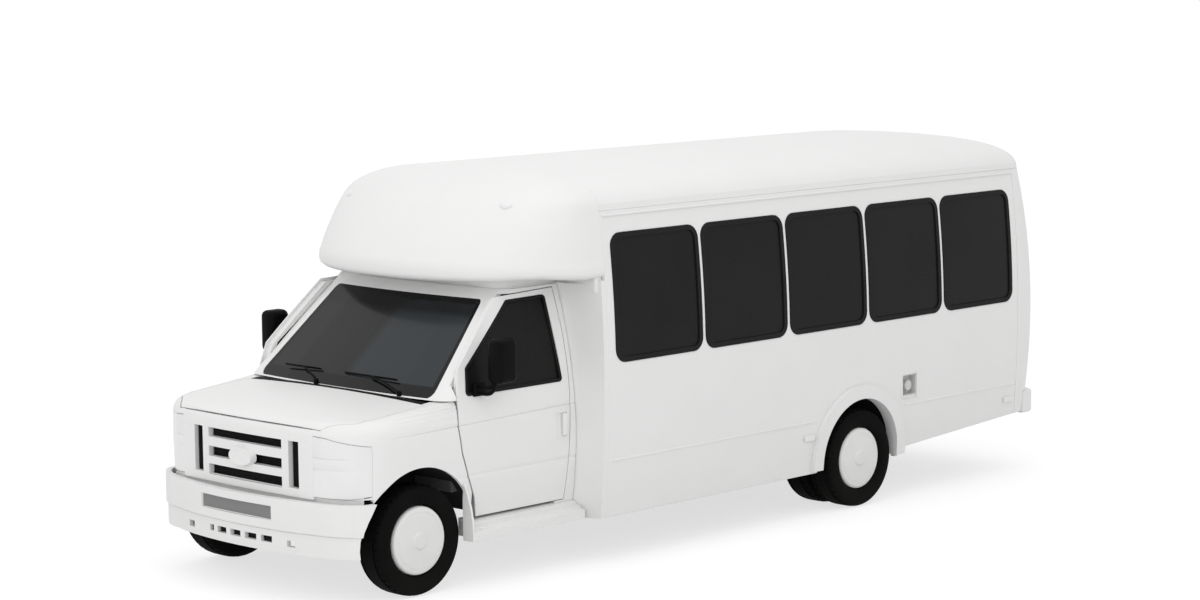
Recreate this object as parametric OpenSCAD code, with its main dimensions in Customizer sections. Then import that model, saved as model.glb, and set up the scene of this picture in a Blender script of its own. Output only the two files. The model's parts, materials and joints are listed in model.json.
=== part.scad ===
// Minibus: a cutaway van cab carrying a wide coach body, with an over-cab cap.
// Front of the vehicle faces -Y, its left side faces +X, and it stands on Z = 0.
// The modules below measure Y from the front axle; place() moves them to the row's origin.

/* [Overall] */
// Distance between the front and rear axle centres
wheelbase = 4070; // [3390:1:4890]
// Front axle centre to the foremost face of the bumper
front_overhang = 690; // [640:1:760]
// Rear axle centre to the rearmost point of the coach
rear_overhang = 2182; // [1900:1:2620]
// Widest width of the coach body
coach_w = 2400; // [2300:1:2880]
// Height of the rail where the side walls meet the roof
rail_z = 2313; // [2260:1:2780]
// Height of the roof's crown above that rail
roof_rise = 254; // [210:1:305]

/* [Coach] */
// Front axle centre to the front seam of the coach's side wall
coach_front_y = 1474; // [1460:1:1560]
// Length of the moulded end of the coach, behind the side walls
end_cap_l = 303; // [260:1:360]
// Bottom edge of the side walls
skirt_z = 301; // [260:1:340]
// Bottom edge of the skirt at the rear corner
rear_skirt_z = 475; // [420:1:520]
// Height where the side walls are widest
waist_z = 1250; // [1150:1:1350]
// How far each side leans in at the rail
side_tuck_top = 77; // [50:1:100]
// How far each side leans in at the skirt
side_tuck_foot = 43; // [20:1:60]
// Thickness of the walls, ends and roof
wall_t = 42; // [30:1:55]
// Plan radius of the coach's rear corners
end_corner_r = 180; // [140:1:230]
// Top of the passenger floor
floor_z = 780; // [760:1:830]
// Thickness of the floors
floor_t = 40; // [30:1:50]

/* [Windows] */
// Number of windows on the left side
window_count = 5; // [4:1:6]
// Lower edge of the side windows
sill_z = 1320; // [1270:1:1380]
// Height of a side window over its frame
window_h = 846; // [700:1:870]
// Gap between two windows
window_gap = 29; // [20:1:60]
// Wall left in front of the first window
window_margin_front = 70; // [60:1:120]
// Wall left behind the last window
window_margin_rear = 74; // [60:1:120]
// Corner radius of a side window
window_r = 90; // [50:1:110]
// Width of the rubber window frame
window_frame_w = 34; // [25:1:45]
// How far the window frames stand proud of the wall
window_frame_proud = 5; // [3:1:8]
// Thickness of all glass
glass_t = 6; // [4:1:8]

/* [Cab] */
// Widest width of the cab
cab_w = 2000; // [1900:1:2100]
// How far the cab's sides lean in at the height of the cab roof
cab_tuck_top = 155; // [120:1:190]
// How far the cab's sides lean in at the sill
cab_tuck_foot = 40; // [20:1:60]
// Thickness of the cab's skins
cab_t = 30; // [24:1:36]
// Thickness of the hood, fenders and grille panel
skin_t = 24; // [18:1:30]
// Top of the cab, under the cap
cab_top_z = 1832; // [1815:1:1850]
// Top of the cab's floor
cab_floor_z = 640; // [600:1:680]
// Bottom edge of the cab doors
door_foot_z = 428; // [422:1:460]
// Gap round every door and lid
panel_gap = 6; // [5:1:9]
// Gap between the two entry leaves, closed by soft edge seals
leaf_gap = 16; // [14:1:24]

/* [Cap] */
// Front of the cap ahead of the coach's front seam
cap_l = 914; // [800:1:1000]
// Underside of the cap at its front
cap_foot_z = 1838; // [1836:1:1870]
// Slope of the cap's underside, rise over run
cap_foot_slope = 0.05; // [0.03:0.005:0.07]

/* [Wheels] */
// Outer radius of the tyres
tyre_r = 352; // [330:1:372]
// Width of a tyre
tyre_w = 205; // [180:1:225]
// Radius of the wheel rim's edge
rim_r = 215; // [200:1:230]
// Outer face of the front wheels, from the centre line
front_wheel_x = 975; // [960:1:985]
// How far the rear wheels' outer faces lie inside the coach's width
rear_wheel_inset = 5; // [0:1:40]
// Gap between the twin tyres
twin_gap = 45; // [35:1:60]
// Radius of the front wheel arches
front_arch_r = 464; // [450:1:480]
// Radius of the rear wheel arches
rear_arch_r = 440; // [425:1:455]
// Radius of the pin that each front knuckle turns on
kingpin_r = 14; // [11:1:17]
// Radius of the wheel bearings' spindles
spindle_r = 30; // [25:1:36]

/* [Seats] */
// Number of passenger seat rows
seat_rows = 4; // [3:1:5]
// Width of a double passenger seat
seat_w = 860; // [800:1:900]
// Height of a seat cushion's top above the floor
seat_h = 430; // [400:1:460]

/* [Hidden] */

overall_l = front_overhang + wheelbase + rear_overhang;
front_axle_y = front_overhang - overall_l/2;
coach_rear_y = wheelbase + rear_overhang;
side_rear_y = coach_rear_y - end_cap_l;
coach_x = coach_w/2;
cab_x = cab_w/2;
rear_wheel_x = coach_x - rear_wheel_inset;
roof_crown = 40;
roof_shoulder = roof_rise - roof_crown;
roof_end_l = 470;
end_bow = 18;
rear_tuck_top = 88;
rear_tuck_foot = 52;
step_top_z = 416;
seam = 0.4;
far = 9000;

// ---- profiles -------------------------------------------------------------

// half width of the coach at height z
function wall_x(z) = coach_x - (z > waist_z
    ? side_tuck_top*pow((z - waist_z)/(rail_z - waist_z), 2)
    : side_tuck_foot*pow((waist_z - z)/(waist_z - skirt_z), 2));

// rear face of the coach at height z
function end_y(z) = coach_rear_y - end_bow - (z > waist_z
    ? rear_tuck_top*pow((z - waist_z)/(rail_z - waist_z), 2)
    : rear_tuck_foot*pow((waist_z - z)/(waist_z - rear_skirt_z), 2));

// half width of the cab at height z
function cab_half(z) = cab_x - (z > 900
    ? cab_tuck_top*pow((z - 900)/900, 1.8)
    : cab_tuck_foot*pow((900 - z)/500, 2));

// evenly spaced heights from a to b
function steps(a, b, n) = [for (i = [0:n]) a + (b - a)*i/n];

// loop of points at one level: open_x wide at open_y, then half_x wide,
// with elliptical corners of rx by ry at end_at and a bowed middle
function plan_half(open_x, half_x, open_y, end_at, rx, ry, bow, corner_n) =
    let (s = sign(end_at - open_y), flat_x = half_x - rx)
    concat(
        [[open_x, open_y]],
        [for (i = [0:corner_n]) let (a = 90*i/corner_n)
            [flat_x + rx*cos(a), end_at - s*ry*(1 - sin(a))]],
        [for (i = [1:3]) let (x = flat_x*(1 - i/3)) [x, end_at + s*bow*(1 - pow(x/max(flat_x, 1), 2))]]);

function mirror_loop(half) = concat(half,
    [for (i = [len(half) - 2:-1:0]) [-half[i][0], half[i][1]]]);

// a level loop lifted to height z, tilted by slope along Y from the line y = at
function lift(loop, z, slope = 0, at = 0) = [for (p = loop) [p[0], p[1], z + slope*(p[1] - at)]];

// solid through a stack of equal-length loops, clockwise or not seen from above
module loft(rings, clockwise) {
    n = len(rings[0]);
    m = len(rings);
    points = [for (ring = rings) for (p = ring) p];
    sides = [for (k = [0:m - 2]) for (i = [0:n - 1])
        let (a = k*n + i, b = k*n + (i + 1)%n, c = a + n, d = b + n)
        each [[a, c, d], [a, d, b]]];
    floor_face = [for (i = [0:n - 1]) i];
    top_face = [for (i = [n - 1:-1:0]) (m - 1)*n + i];
    faces = concat(sides, [floor_face, top_face]);
    polyhedron(points, clockwise ? [for (f = faces) [for (i = [len(f) - 1:-1:0]) f[i]]] : faces, convexity = 10);
}

// everything inside is worked out as one mesh
module skin() { resize([0, 0, 0]) union() children(); }

module place() { translate([0, front_axle_y, 0]) children(); }

module both_sides() { children(); mirror([1, 0, 0]) children(); }

// box from its low corner to its high corner
module span(low, high) { translate(low) cube(high - low); }

// flange left round the inner layer of a door, and the outer layer's thickness
door_flange = 20;
door_skin_t = 10;

// plate outline drawn in Y and Z, as thick as from x0 to x1
module side_plate(x0, x1) {
    translate([x0, 0, 0]) rotate([90, 0, 90]) linear_extrude(x1 - x0) children();
}

// plate outline drawn in X and Z, from y0 to y1
module cross_plate(y0, y1) {
    translate([0, y1, 0]) rotate([90, 0, 0]) linear_extrude(y1 - y0) children();
}

// rectangle with round corners
module soft_rect(low, high, r) {
    for (i = [0, 1]) translate([low[0] + i*r, low[1] + (1 - i)*r])
        square([high[0] - low[0] - 2*i*r, high[1] - low[1] - 2*(1 - i)*r]);
    for (u = [low[0] + r, high[0] - r]) for (v = [low[1] + r, high[1] - r]) translate([u, v]) circle(r, $fn = 24);
}

// round bar along X between two places
module bar_x(x0, x1, y, z, r) {
    translate([x0, y, z]) rotate([0, 90, 0]) cylinder(h = x1 - x0, r = r, $fn = 48);
}

// round bar along Y
module bar_y(y0, y1, x, z, r) {
    translate([x, y1, z]) rotate([90, 0, 0]) cylinder(h = y1 - y0, r = r, $fn = 48);
}

// ---- outer forms, each drawn in by an inset -------------------------------

function coach_ring(half_x, end_at, r, front) =
    mirror_loop(plan_half(half_x, half_x, front, end_at, r, r, end_bow, 7));

// the coach from its skirt to its crown
module coach_form(inset, front = coach_front_y) {
    r = end_corner_r - inset;
    rail_half = wall_x(rail_z) - inset;
    rail_end = end_y(rail_z) - inset;
    loft(concat(
        [for (z = concat(steps(skirt_z - 20, waist_z - 110, 5), steps(waist_z, rail_z, 7)))
            lift(coach_ring(wall_x(z) - inset, end_y(z) - inset, r, front), z)],
        [for (a = [8, 16, 24, 33, 43, 54, 65, 77, 88])
            let (s = sqrt(cos(a)), rise = roof_crown*(1 - s*s) + roof_shoulder*pow(1 - pow(s, 4), 0.4),
                grow = min(rail_half*s - 40, r + 260*(1 - s)))
            lift(coach_ring(rail_half*s, rail_end - roof_end_l*(1 - s), grow, front),
                rail_z + rise*(roof_rise - inset)/roof_rise)]),
        false);
}

// the cap over the cab, with its rounded brim
cap_waist_z = 1963;
function cap_reach(z) = let (w = max(0, (z - cap_waist_z)/(rail_z + roof_rise - cap_waist_z)))
    cap_l*pow(max(0, 1 - pow(w, 1/0.78)), 1/2.2);

// superellipse loop, half_x wide at the seam and reaching forward by reach
function nose_loop(half_x, reach) = let (p = 2.35, n = 26)
    [for (i = [0:n]) let (a = 180*i/n, c = cos(a), s = sin(a))
        [half_x*sign(c)*pow(abs(c), 2/p), coach_front_y - reach*pow(s, 2/p)]];

module cap_form(inset) {
    brim_r = 46;
    top = rail_z + roof_rise;
    shrink = (roof_rise - inset)/roof_rise;
    foot = cap_foot_z + inset;
    // the brim's edge rolls from the underside out to the face
    loft(concat(
        [for (a = [0, 30, 60, 90]) let (in = inset + brim_r*(1 - sin(a)))
            lift(nose_loop(wall_x(foot) - in, cap_l - in), foot + brim_r*(1 - cos(a)),
                cap_foot_slope, coach_front_y - cap_l)],
        [for (z = steps(cap_waist_z, rail_z, 6))
            lift(nose_loop(wall_x(z) - inset, cap_reach(z) - inset), z)],
        [for (a = [8, 16, 24, 33, 43, 54, 65, 77, 86])
            let (s = sqrt(cos(a)), rise = roof_crown*(1 - s*s) + roof_shoulder*pow(1 - pow(s, 4), 0.4))
            lift(nose_loop((wall_x(rail_z) - inset)*s, max(20, cap_reach(rail_z + rise) - inset)),
                rail_z + rise*shrink)]),
        true);
}

// the cab above its sill, with the windscreen's slope in front
screen_foot_y = 236;
screen_foot_z = 1180;
screen_slope = 1.04;
function screen_y(z) = screen_foot_y + screen_slope*(z - screen_foot_z);

function cab_loop(half_x, front, inset) =
    mirror_loop(plan_half(half_x, half_x, coach_front_y - wall_t - seam, front, 150 - inset, 110 - inset, 40, 6));

module cab_form(inset, foot = 1183) {
    loft([for (z = concat(steps(foot, cab_top_z, 10)))
        lift(cab_loop(cab_half(z) - inset, screen_y(z) - 30 + inset*1.3, inset), z)], true);
}

// the cab's flat-fronted lower sides
module cab_sides_form(inset) {
    loft([for (z = steps(door_foot_z - 60, cab_top_z, 16))
        lift([[cab_half(z) - inset, coach_front_y - wall_t - seam], [cab_half(z) - inset, 150],
            [inset - cab_half(z), 150], [inset - cab_half(z), coach_front_y - wall_t - seam]], z)], true);
}

// the nose: fenders, hood and front panel in one form
nose_y = -570;
nose_back_y = 500;
module nose_form(inset) {
    shoulder_h = 150;
    hood_slope = 0.08;
    function face_half(z) = cab_half(z) - inset;
    function nose_ring(open_x, half_x, front, r, bow) =
        mirror_loop(plan_half(open_x, half_x, nose_back_y, front, r, r, bow, 10));
    loft(concat(
        [for (z = steps(door_foot_z - 60, 1010, 7))
            lift(nose_ring(face_half(z), face_half(z) - max(0, 640 - z)*0.03, nose_y + inset, 330 - inset, 28), z)],
        [for (a = [14, 28, 42, 56, 70, 82])
            let (tuck = 1 - cos(a), drop = shoulder_h*sin(a))
            lift(nose_ring(face_half(1040) - 26*tuck, face_half(1040) - 118*tuck, nose_y + inset + 62*tuck,
                330 - inset - 60*tuck, 28 - 6*tuck), 1032 + drop - inset*sin(a), hood_slope*sin(a), 200)],
        [for (s = [0.96, 0.86, 0.7, 0.45, 0.15])
            lift(nose_ring(s*900, s*872, nose_y + 62 + 500*(1 - s), s*250, 12), 1182 + 22*(1 - s*s) - inset,
                hood_slope, 200)]),
        true);
}

// ---- coach body ------------------------------------------------------------

side_l = side_rear_y - coach_front_y;
window_pitch = (side_l - window_margin_front - window_margin_rear + window_gap)/window_count;
window_w = window_pitch - window_gap;
function window_y(i) = coach_front_y + window_margin_front + i*window_pitch;

module coach_shell(inset = 0, thick = wall_t) {
    difference() {
        coach_form(inset);
        coach_form(inset + thick, coach_front_y - 10);
        span([-far, 0, skirt_z - 60], [far, coach_rear_y + 100, skirt_z]);
    }
}

// the skirt rises behind the rear wheels
module skirt_cut() {
    side_plate(-far, far) polygon([[wheelbase + 380, skirt_z - 100], [wheelbase + 520, skirt_z + 60],
        [side_rear_y, rear_skirt_z - 30], [coach_rear_y + 50, rear_skirt_z], [coach_rear_y + 50, skirt_z - 100]]);
}

module rear_arch_cut(extra = 0) {
    bar_x(-far, far, wheelbase, tyre_r + 20, rear_arch_r + extra);
    span([-far, wheelbase - rear_arch_r - extra, 0], [far, wheelbase + rear_arch_r + extra, tyre_r + 20]);
}

module window_hole(i, shrink = 0) {
    side_plate(-far, far) soft_rect([window_y(i) + shrink, sill_z + shrink],
        [window_y(i) + window_w - shrink, sill_z + window_h - shrink], window_r - shrink);
}

// the recess for the fuel cap, behind the left rear wheel
fuel_y = wheelbase + 566;
fuel_z = 818;
fuel_w = 172;
fuel_h = 156;

module left_side_wall() color("white") place() skin() difference() {
    intersection() {
        coach_shell();
        span([coach_x - 160, coach_front_y, skirt_z], [far, side_rear_y, rail_z]);
    }
    skirt_cut();
    rear_arch_cut();
    for (i = [0:window_count - 1]) window_hole(i);
    side_plate(0, far) soft_rect([fuel_y - fuel_w/2, fuel_z - fuel_h/2],
        [fuel_y + fuel_w/2, fuel_z + fuel_h/2], 14);
}

// the entry doorway takes the place of the first window on the right side
entry_foot_z = skirt_z + 40;
entry_top_z = sill_z + window_h + 10;
entry_y = window_y(0);
entry_w = window_w;

module entry_hole(grow = 0, x0 = -far, x1 = -coach_x/2) {
    side_plate(x0, x1) soft_rect([entry_y - grow, entry_foot_z - grow],
        [entry_y + entry_w + grow, entry_top_z + grow], 24 + grow);
}

module right_side_wall() color("white") place() skin() {
    right_panel();
    entry_stop();
}

module right_panel() difference() {
    intersection() {
        coach_shell();
        span([-far, coach_front_y, skirt_z], [160 - coach_x, side_rear_y, rail_z]);
    }
    skirt_cut();
    rear_arch_cut();
    entry_hole();
    for (i = [1:window_count - 1]) window_hole(i);
}

// stop under the entry's header, which the closed leaves rest on
module entry_stop() intersection() {
    coach_shell(wall_t - 7 + seam, 14);
    difference() {
        entry_hole(12);
        entry_hole(-panel_gap - door_flange - 8);
    }
    span([-far, 0, entry_top_z - 34], [0, far, far]);
}

// a leaf is an outer skin over a slightly smaller inner frame
module leaf(y0, y1) skin() difference() {
    for (layer = [[3, door_skin_t, 0], [3 + door_skin_t/2, wall_t - 10 - door_skin_t/2, door_flange]]) intersection() {
        coach_shell(layer[0], layer[1]);
        side_plate(-far, -coach_x/2) soft_rect([y0 + layer[2], entry_foot_z + panel_gap + layer[2]],
            [y1 - layer[2], entry_top_z - panel_gap - layer[2]], 20);
    }
    side_plate(-far, 0) soft_rect([y0 + 62, entry_foot_z + 130], [y1 - 62, entry_top_z - 110], 50);
}

module entry_front_leaf() color("white") place()
    leaf(entry_y + panel_gap, entry_y + entry_w/2 - leaf_gap/2);
module entry_rear_leaf() color("white") place()
    leaf(entry_y + entry_w/2 + leaf_gap/2, entry_y + entry_w - panel_gap);

module window_frames() color("#161616") place() skin() {
    for (side = [0, 1]) mirror([side, 0, 0]) for (i = [side:window_count - 1]) intersection() {
        coach_shell(-window_frame_proud, wall_t*0.55 + window_frame_proud);
        difference() {
            window_hole(i, seam);
            window_hole(i, window_frame_w);
        }
        span([0, 0, 0], [far, coach_rear_y, rail_z]);
    }
}

module window_glass() color("#202224") place() skin() {
    for (side = [0, 1]) mirror([side, 0, 0]) for (i = [side:window_count - 1]) intersection() {
        coach_shell(6, glass_t);
        window_hole(i, window_frame_w + seam);
        span([0, 0, 0], [far, coach_rear_y, rail_z]);
    }
}

// rear end: the moulded cap behind the side walls, with the doorway cut
rear_door_w = 900;
rear_door_foot_z = floor_z - 90;
rear_door_top_z = rail_z - 150;

module rear_doorway(shrink) {
    cross_plate(side_rear_y + 20, coach_rear_y + 200)
        soft_rect([shrink - rear_door_w/2, rear_door_foot_z + shrink],
            [rear_door_w/2 - shrink, rear_door_top_z - shrink], 60);
}

module rear_wall() color("white") place() skin() {
    rear_panel();
    // stop inside the doorway's head, which the closed door rests on
    intersection() {
        coach_shell(wall_t - 4 + seam, 14);
        difference() {
            rear_doorway(-12);
            rear_doorway(panel_gap + door_flange + 8);
        }
        span([-far, 0, rear_door_top_z - 34], [far, far, far]);
    }
}

module rear_panel() difference() {
    intersection() {
        coach_shell();
        span([-far, side_rear_y + seam, skirt_z], [far, coach_rear_y + 50, rail_z]);
    }
    skirt_cut();
    rear_doorway(0);
    // the bumper takes the place of its lower edge
    span([-far, bumper_front_y - panel_gap, 0], [far, far, 606]);
    // round holes for the tail lamps
    for (s = [-1, 1]) for (z = [820, 970, 1120]) bar_y(side_rear_y + 60, coach_rear_y + 50, s*(coach_x - 300), z, lamp_r + seam);
}

module rear_window_hole(shrink) {
    cross_plate(side_rear_y, coach_rear_y + 200)
        soft_rect([shrink + 150 - rear_door_w/2, sill_z + shrink],
            [rear_door_w/2 - 150 - shrink, rear_door_top_z - 130 - shrink], 70);
}

module rear_door() color("white") place() skin() difference() {
    for (layer = [[2, door_skin_t, 0], [2 + door_skin_t/2, wall_t - 6 - door_skin_t/2, door_flange]]) intersection() {
        coach_shell(layer[0], layer[1]);
        rear_doorway(panel_gap + layer[2]);
    }
    rear_window_hole(0);
}

module roof() color("white") place() skin() difference() {
    intersection() {
        coach_form(0);
        span([-far, coach_front_y, rail_z + seam], [far, coach_rear_y + 50, far]);
    }
    coach_form(wall_t, coach_front_y - 10);
}

// arches standing proud of the wall over the rear wheels
flare_proud = 34;
flare_w = 72;
module arch_flares() color("white") place() skin() both_sides() difference() {
    intersection() {
        coach_form(-flare_proud, coach_front_y);
        union() {
            side_plate(coach_x - 180, far) intersection() {
                difference() {
                    union() {
                        translate([wheelbase, tyre_r + 20]) circle(rear_arch_r + flare_w, $fn = 72);
                        translate([wheelbase - rear_arch_r - flare_w, 0])
                            square([2*(rear_arch_r + flare_w), tyre_r + 20]);
                    }
                    translate([wheelbase, tyre_r + 20]) circle(rear_arch_r - 26, $fn = 72);
                    translate([wheelbase - rear_arch_r + 26, 0]) square([2*(rear_arch_r - 26), tyre_r + 20]);
                }
                translate([wheelbase - 700, skirt_z + 20]) square([1400, 1000]);
            }
        }
    }
    // seated on the wall, with its inner lip turned through the arch
    difference() {
        coach_form(-seam, coach_front_y - 20);
        rear_arch_cut(-seam);
    }
    coach_form(wall_t + 20, coach_front_y - 20);
}

module fuel_filler() color("#d8d8d8") place() {
    x = wall_x(fuel_z);
    // tray set back in the recess, with its round cap
    difference() {
        side_plate(x - 70, x - 6) soft_rect([fuel_y - fuel_w/2 + seam, fuel_z - fuel_h/2 + seam],
            [fuel_y + fuel_w/2 - seam, fuel_z + fuel_h/2 - seam], 14);
        span([x - 64, fuel_y - fuel_w/2 + 8, fuel_z - fuel_h/2 + 8],
            [x, fuel_y + fuel_w/2 - 8, fuel_z + fuel_h/2 - 8]);
    }
    bar_x(x - 66, x - 22, fuel_y + 14, fuel_z - 6, 38);
}

lamp_r = 52;
module lamps() color("#f2f2f2") place() {
    // tail lamps in the rear wall
    for (s = [-1, 1]) for (z = [820, 970, 1120])
        bar_y(end_y(z) - wall_t - 12, end_y(z) + 10, s*(coach_x - 300), z, lamp_r);
    // side markers low on the skirts
    for (s = [-1, 1]) for (y = [wheelbase - rear_arch_r - flare_w - 45, side_rear_y - 100]) {
        x = s*(wall_x(566) + 7);
        span([x - 5, y - 55, 545], [x + 5, y + 55, 587]);
    }
}

bumper_w = coach_w - 60;
bumper_front_y = side_rear_y + 110;
bumper_back_y = coach_rear_y - 4;
module rear_bumper() color("white") place() difference() {
    translate([0, 0, 432]) linear_extrude(170) polygon(mirror_loop([[bumper_w/2, bumper_front_y],
        [bumper_w/2, bumper_back_y - 100], [bumper_w/2 - 25, bumper_back_y - 40], [bumper_w/2 - 80, bumper_back_y],
        [0, bumper_back_y]]));
    span([wall_t*2 - bumper_w/2, bumper_front_y - 50, 420], [bumper_w/2 - wall_t*2, coach_rear_y - 130, 560]);
}

// ---- cap and front wall ----------------------------------------------------

module front_cap() color("white") place() skin() difference() {
    cap_form(0);
    difference() {
        cap_form(wall_t);
        // the underside stays as a plate over the cab
        span([-far, -far, 0], [far, coach_front_y + 10, cap_foot_z + floor_t]);
    }
    // shallow scoop in the top of the nose
    translate([0, coach_front_y - cap_l*0.8, rail_z + 62]) rotate([-32, 0, 0])
        linear_extrude(200) soft_rect([-330, -86], [330, 86], 50);
    // opening up from the cab
    span([-430, coach_front_y - 330, 0], [430, coach_front_y + 10, cap_foot_z + 120]);
}

passage_w = 900;
module coach_front_wall() color("white") place() skin() {
    flare_y = coach_front_y - 102;
    difference() {
        intersection() {
            coach_form(0, coach_front_y - wall_t);
            span([-far, coach_front_y - wall_t, skirt_z], [far, coach_front_y - seam, cap_foot_z + 30]);
        }
        span([-passage_w/2, 0, floor_z - floor_t], [passage_w/2, far, far]);
        span([-far, 0, 0], [far, far, skirt_z]);
        span([-passage_w/2 - 60, 0, 0], [passage_w/2 + 60, far, floor_z - floor_t - 60]);
    }
    // splayed corners from the cab's width out to the coach's
    both_sides() loft([for (z = steps(skirt_z, cap_foot_z + 2, 10))
        let (outer = wall_x(z), inner = cab_half(max(z, door_foot_z)))
        lift([[outer, coach_front_y - seam], [outer - 3, coach_front_y - wall_t],
            [inner + 24, flare_y], [inner - 10, flare_y - 2], [inner - cab_t - 20, flare_y - 2],
            [inner - cab_t - 20, coach_front_y - seam]], z)], true);
}

wheel_box_x = rear_wheel_x - 2*tyre_w - twin_gap - 45;

module coach_floor() color("#8f9296") place() difference() {
    union() {
        span([-coach_x + 90, coach_front_y + seam, floor_z - floor_t],
            [coach_x - 90, side_rear_y + 150, floor_z]);
        // boxes over the rear wheels
        for (s = [0, 1]) mirror([s, 0, 0]) difference() {
            span([wheel_box_x, wheelbase - rear_arch_r - 60, floor_z - floor_t],
                [coach_x - 90, wheelbase + rear_arch_r + 60, floor_z + 120]);
            span([wheel_box_x + 12, wheelbase - rear_arch_r - 48, 0],
                [coach_x + 90, wheelbase + rear_arch_r + 48, floor_z + 108]);
        }
        // entry stepwell
        span([90 - coach_x, entry_y - 30, entry_foot_z - 24], [-coach_x + 560, entry_y + entry_w + 30, floor_z]);
    }
    // two treads inside the well
    span([0 - far, entry_y, entry_foot_z], [-coach_x + 300, entry_y + entry_w, far]);
    span([0 - far, entry_y, entry_foot_z + 220], [-coach_x + 540, entry_y + entry_w, far]);
    // clear of the twin wheels under the boxes
    for (s = [0, 1]) mirror([s, 0, 0]) span([wheel_box_x + 12, wheelbase - rear_arch_r - 48, 0],
        [coach_x + 90, wheelbase + rear_arch_r + 48, floor_z + 108]);
}

// ---- cab -------------------------------------------------------------------

// driver's door outline in Y and Z: its lower front edge follows the wheel arch
door_back_y = 1322;
module door_outline(shrink = 0) {
    offset(delta = -shrink) polygon([[484, door_foot_z], [462, 560], [414, 680], [352, 860], [325, 1030],
        [330, 1250], [368, 1395], [560, 1588], [772, 1800], [1318, cab_top_z - 12], [1332, 1500], [1331, 1210],
        [1304, 691], [1280, door_foot_z]]);
}

module door_window_outline(shrink = 0) {
    offset(r = 30, $fn = 24) offset(delta = -30 - shrink)
        polygon([[405, 1212], [428, 1388], [880, 1772], [1232, 1778], [1268, 1245], [1262, 1212]]);
}

// the sides meet the nose panels under the windscreen's foot
pillar_foot_z = 1196;

module cab_shell() color("white") place() skin() {
    cab_panels();
    both_sides() intersection() {
        // return behind each door's rear edge, with a stop that the closed door rests on
        union() {
            intersection() {
                cab_skin(0, 70);
                side_plate(0, far) difference() { door_outline(-14); door_outline(0); }
            }
            intersection() {
                cab_skin(56 + seam, 14 - seam);
                side_plate(0, far) difference() { door_outline(-14); door_outline(panel_gap + door_flange + 10); }
            }
        }
        span([0, 1240, door_foot_z + 30], [far, far, 1700]);
    }
    // firewall under the cowl
    difference() {
        intersection() {
            nose_form(skin_t + seam);
            span([-far, 286, cab_floor_z], [far, 312, 1500]);
        }
        bar_x(-far, far, 0, tyre_r, front_arch_r + panel_gap);
        span([-260, 0, 0], [260, far, 1080]);
        cab_form(-seam, pillar_foot_z - 40);
    }
}

module cab_panels() difference() {
    union() {
        difference() {
            cab_form(0, pillar_foot_z);
            cab_form(cab_t, pillar_foot_z - 10);
        }
        // roof panel of the cab
        intersection() {
            cab_form(1, pillar_foot_z);
            span([-far, 0, cab_top_z - cab_t], [far, far, cab_top_z]);
        }
        // sides below the waist, behind the doors
        difference() {
            cab_sides_form(0);
            cab_sides_form(cab_t);
            span([-far, 0, 0], [far, 1200, pillar_foot_z]);
            span([-far, 0, pillar_foot_z], [far, 1200, far]);
        }
    }
    // ends over the step
    span([-far, -far, 0], [far, far, step_top_z + seam]);
    // open to the coach behind
    span([-far, coach_front_y - 102 - panel_gap, 0], [far, far, far]);
    span([-430, coach_front_y - 330, cab_top_z - 100], [430, far, far]);
    // the doors' openings, inboard of which the windscreen pillars stand
    difference() {
        side_plate(-far, far) door_outline(0);
        cab_sides_form(64);
    }
    screen_hole(0);
}

// windscreen outline in X and Z, wider at its foot
module screen_hole(shrink) {
    cross_plate(-200, 1100) offset(r = 40, $fn = 24) offset(delta = -40 - shrink)
        polygon([[-850, screen_foot_z + 24], [850, screen_foot_z + 24], [706, 1770], [-706, 1770]]);
}

module windscreen() color("#1c1e20") place() skin() intersection() {
    difference() {
        cab_form(3, pillar_foot_z);
        cab_form(3 + glass_t*2, pillar_foot_z - 10);
    }
    screen_hole(seam);
    span([-far, 0, 0], [far, 1000, far]);
}

// black panel between the hood and the windscreen's foot
module cowl_panel() color("#161616") place() skin() difference() {
    nose_shell();
    cab_form(-seam, pillar_foot_z - 40);
    span([-far, -far, 0], [far, hood_back_y + panel_gap, far]);
    span([-far, -far, 0], [far, far, 1100]);
    both_sides() span([842 - seam, -far, 0], [far, far, far]);
}

// floor, firewall and engine cover between the front seats
module cab_floor() color("#3c3e40") place() {
    top_y = coach_front_y - wall_t - seam;
    difference() {
        union() {
            span([100 - cab_x, 380, cab_floor_z - floor_t], [cab_x - 100, top_y, cab_floor_z]);
            span([100 - cab_x, 340, cab_floor_z - floor_t], [cab_x - 100, 380, 1110]);
            // pad between this and the firewall ahead of it
            span([-600, 312 + seam, 1000], [600, 340, 1100]);
            // risers at the wheel houses and the step up to the coach floor
            span([-passage_w/2, top_y - 200, cab_floor_z - floor_t], [passage_w/2, top_y, floor_z]);
        }
        span([-280, 300, 0], [280, 900, 1080]);
    }
    difference() {
        span([-300, 350, cab_floor_z - floor_t], [300, 920, 1090]);
        span([-260, 300, 0], [260, 880, 1040]);
    }
}

module dashboard() color("#2a2b2d") place() {
    wheel_x = 520;
    difference() {
        side_plate(80 - cab_x, cab_x - 80)
            polygon([[384, 1120], [384, 1010], [560, 940], [640, 1010], [620, 1100], [420, 1176], [330, 1180], [330, 1124]]);
        // rests on the engine cover
        span([-300 - panel_gap, 0, 0], [300 + panel_gap, 2000, 1090]);
        // hollowed over the driver's knees
        span([wheel_x - 190, 500, 900], [wheel_x + 190, 900, 985]);
    }
    // steering column and wheel
    translate([wheel_x, 560, 1070]) rotate([-62, 0, 0]) {
        cylinder(h = 160, r = 26, $fn = 40);
        translate([0, 0, 140]) {
            rotate_extrude($fn = 72) translate([185, 0]) circle(14, $fn = 24);
            cylinder(h = 26, r = 62, $fn = 48);
            for (a = [0, 120, 240]) rotate([0, 0, a + 30]) translate([50, -13, 4]) cube([126, 26, 12]);
        }
    }
}

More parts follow.
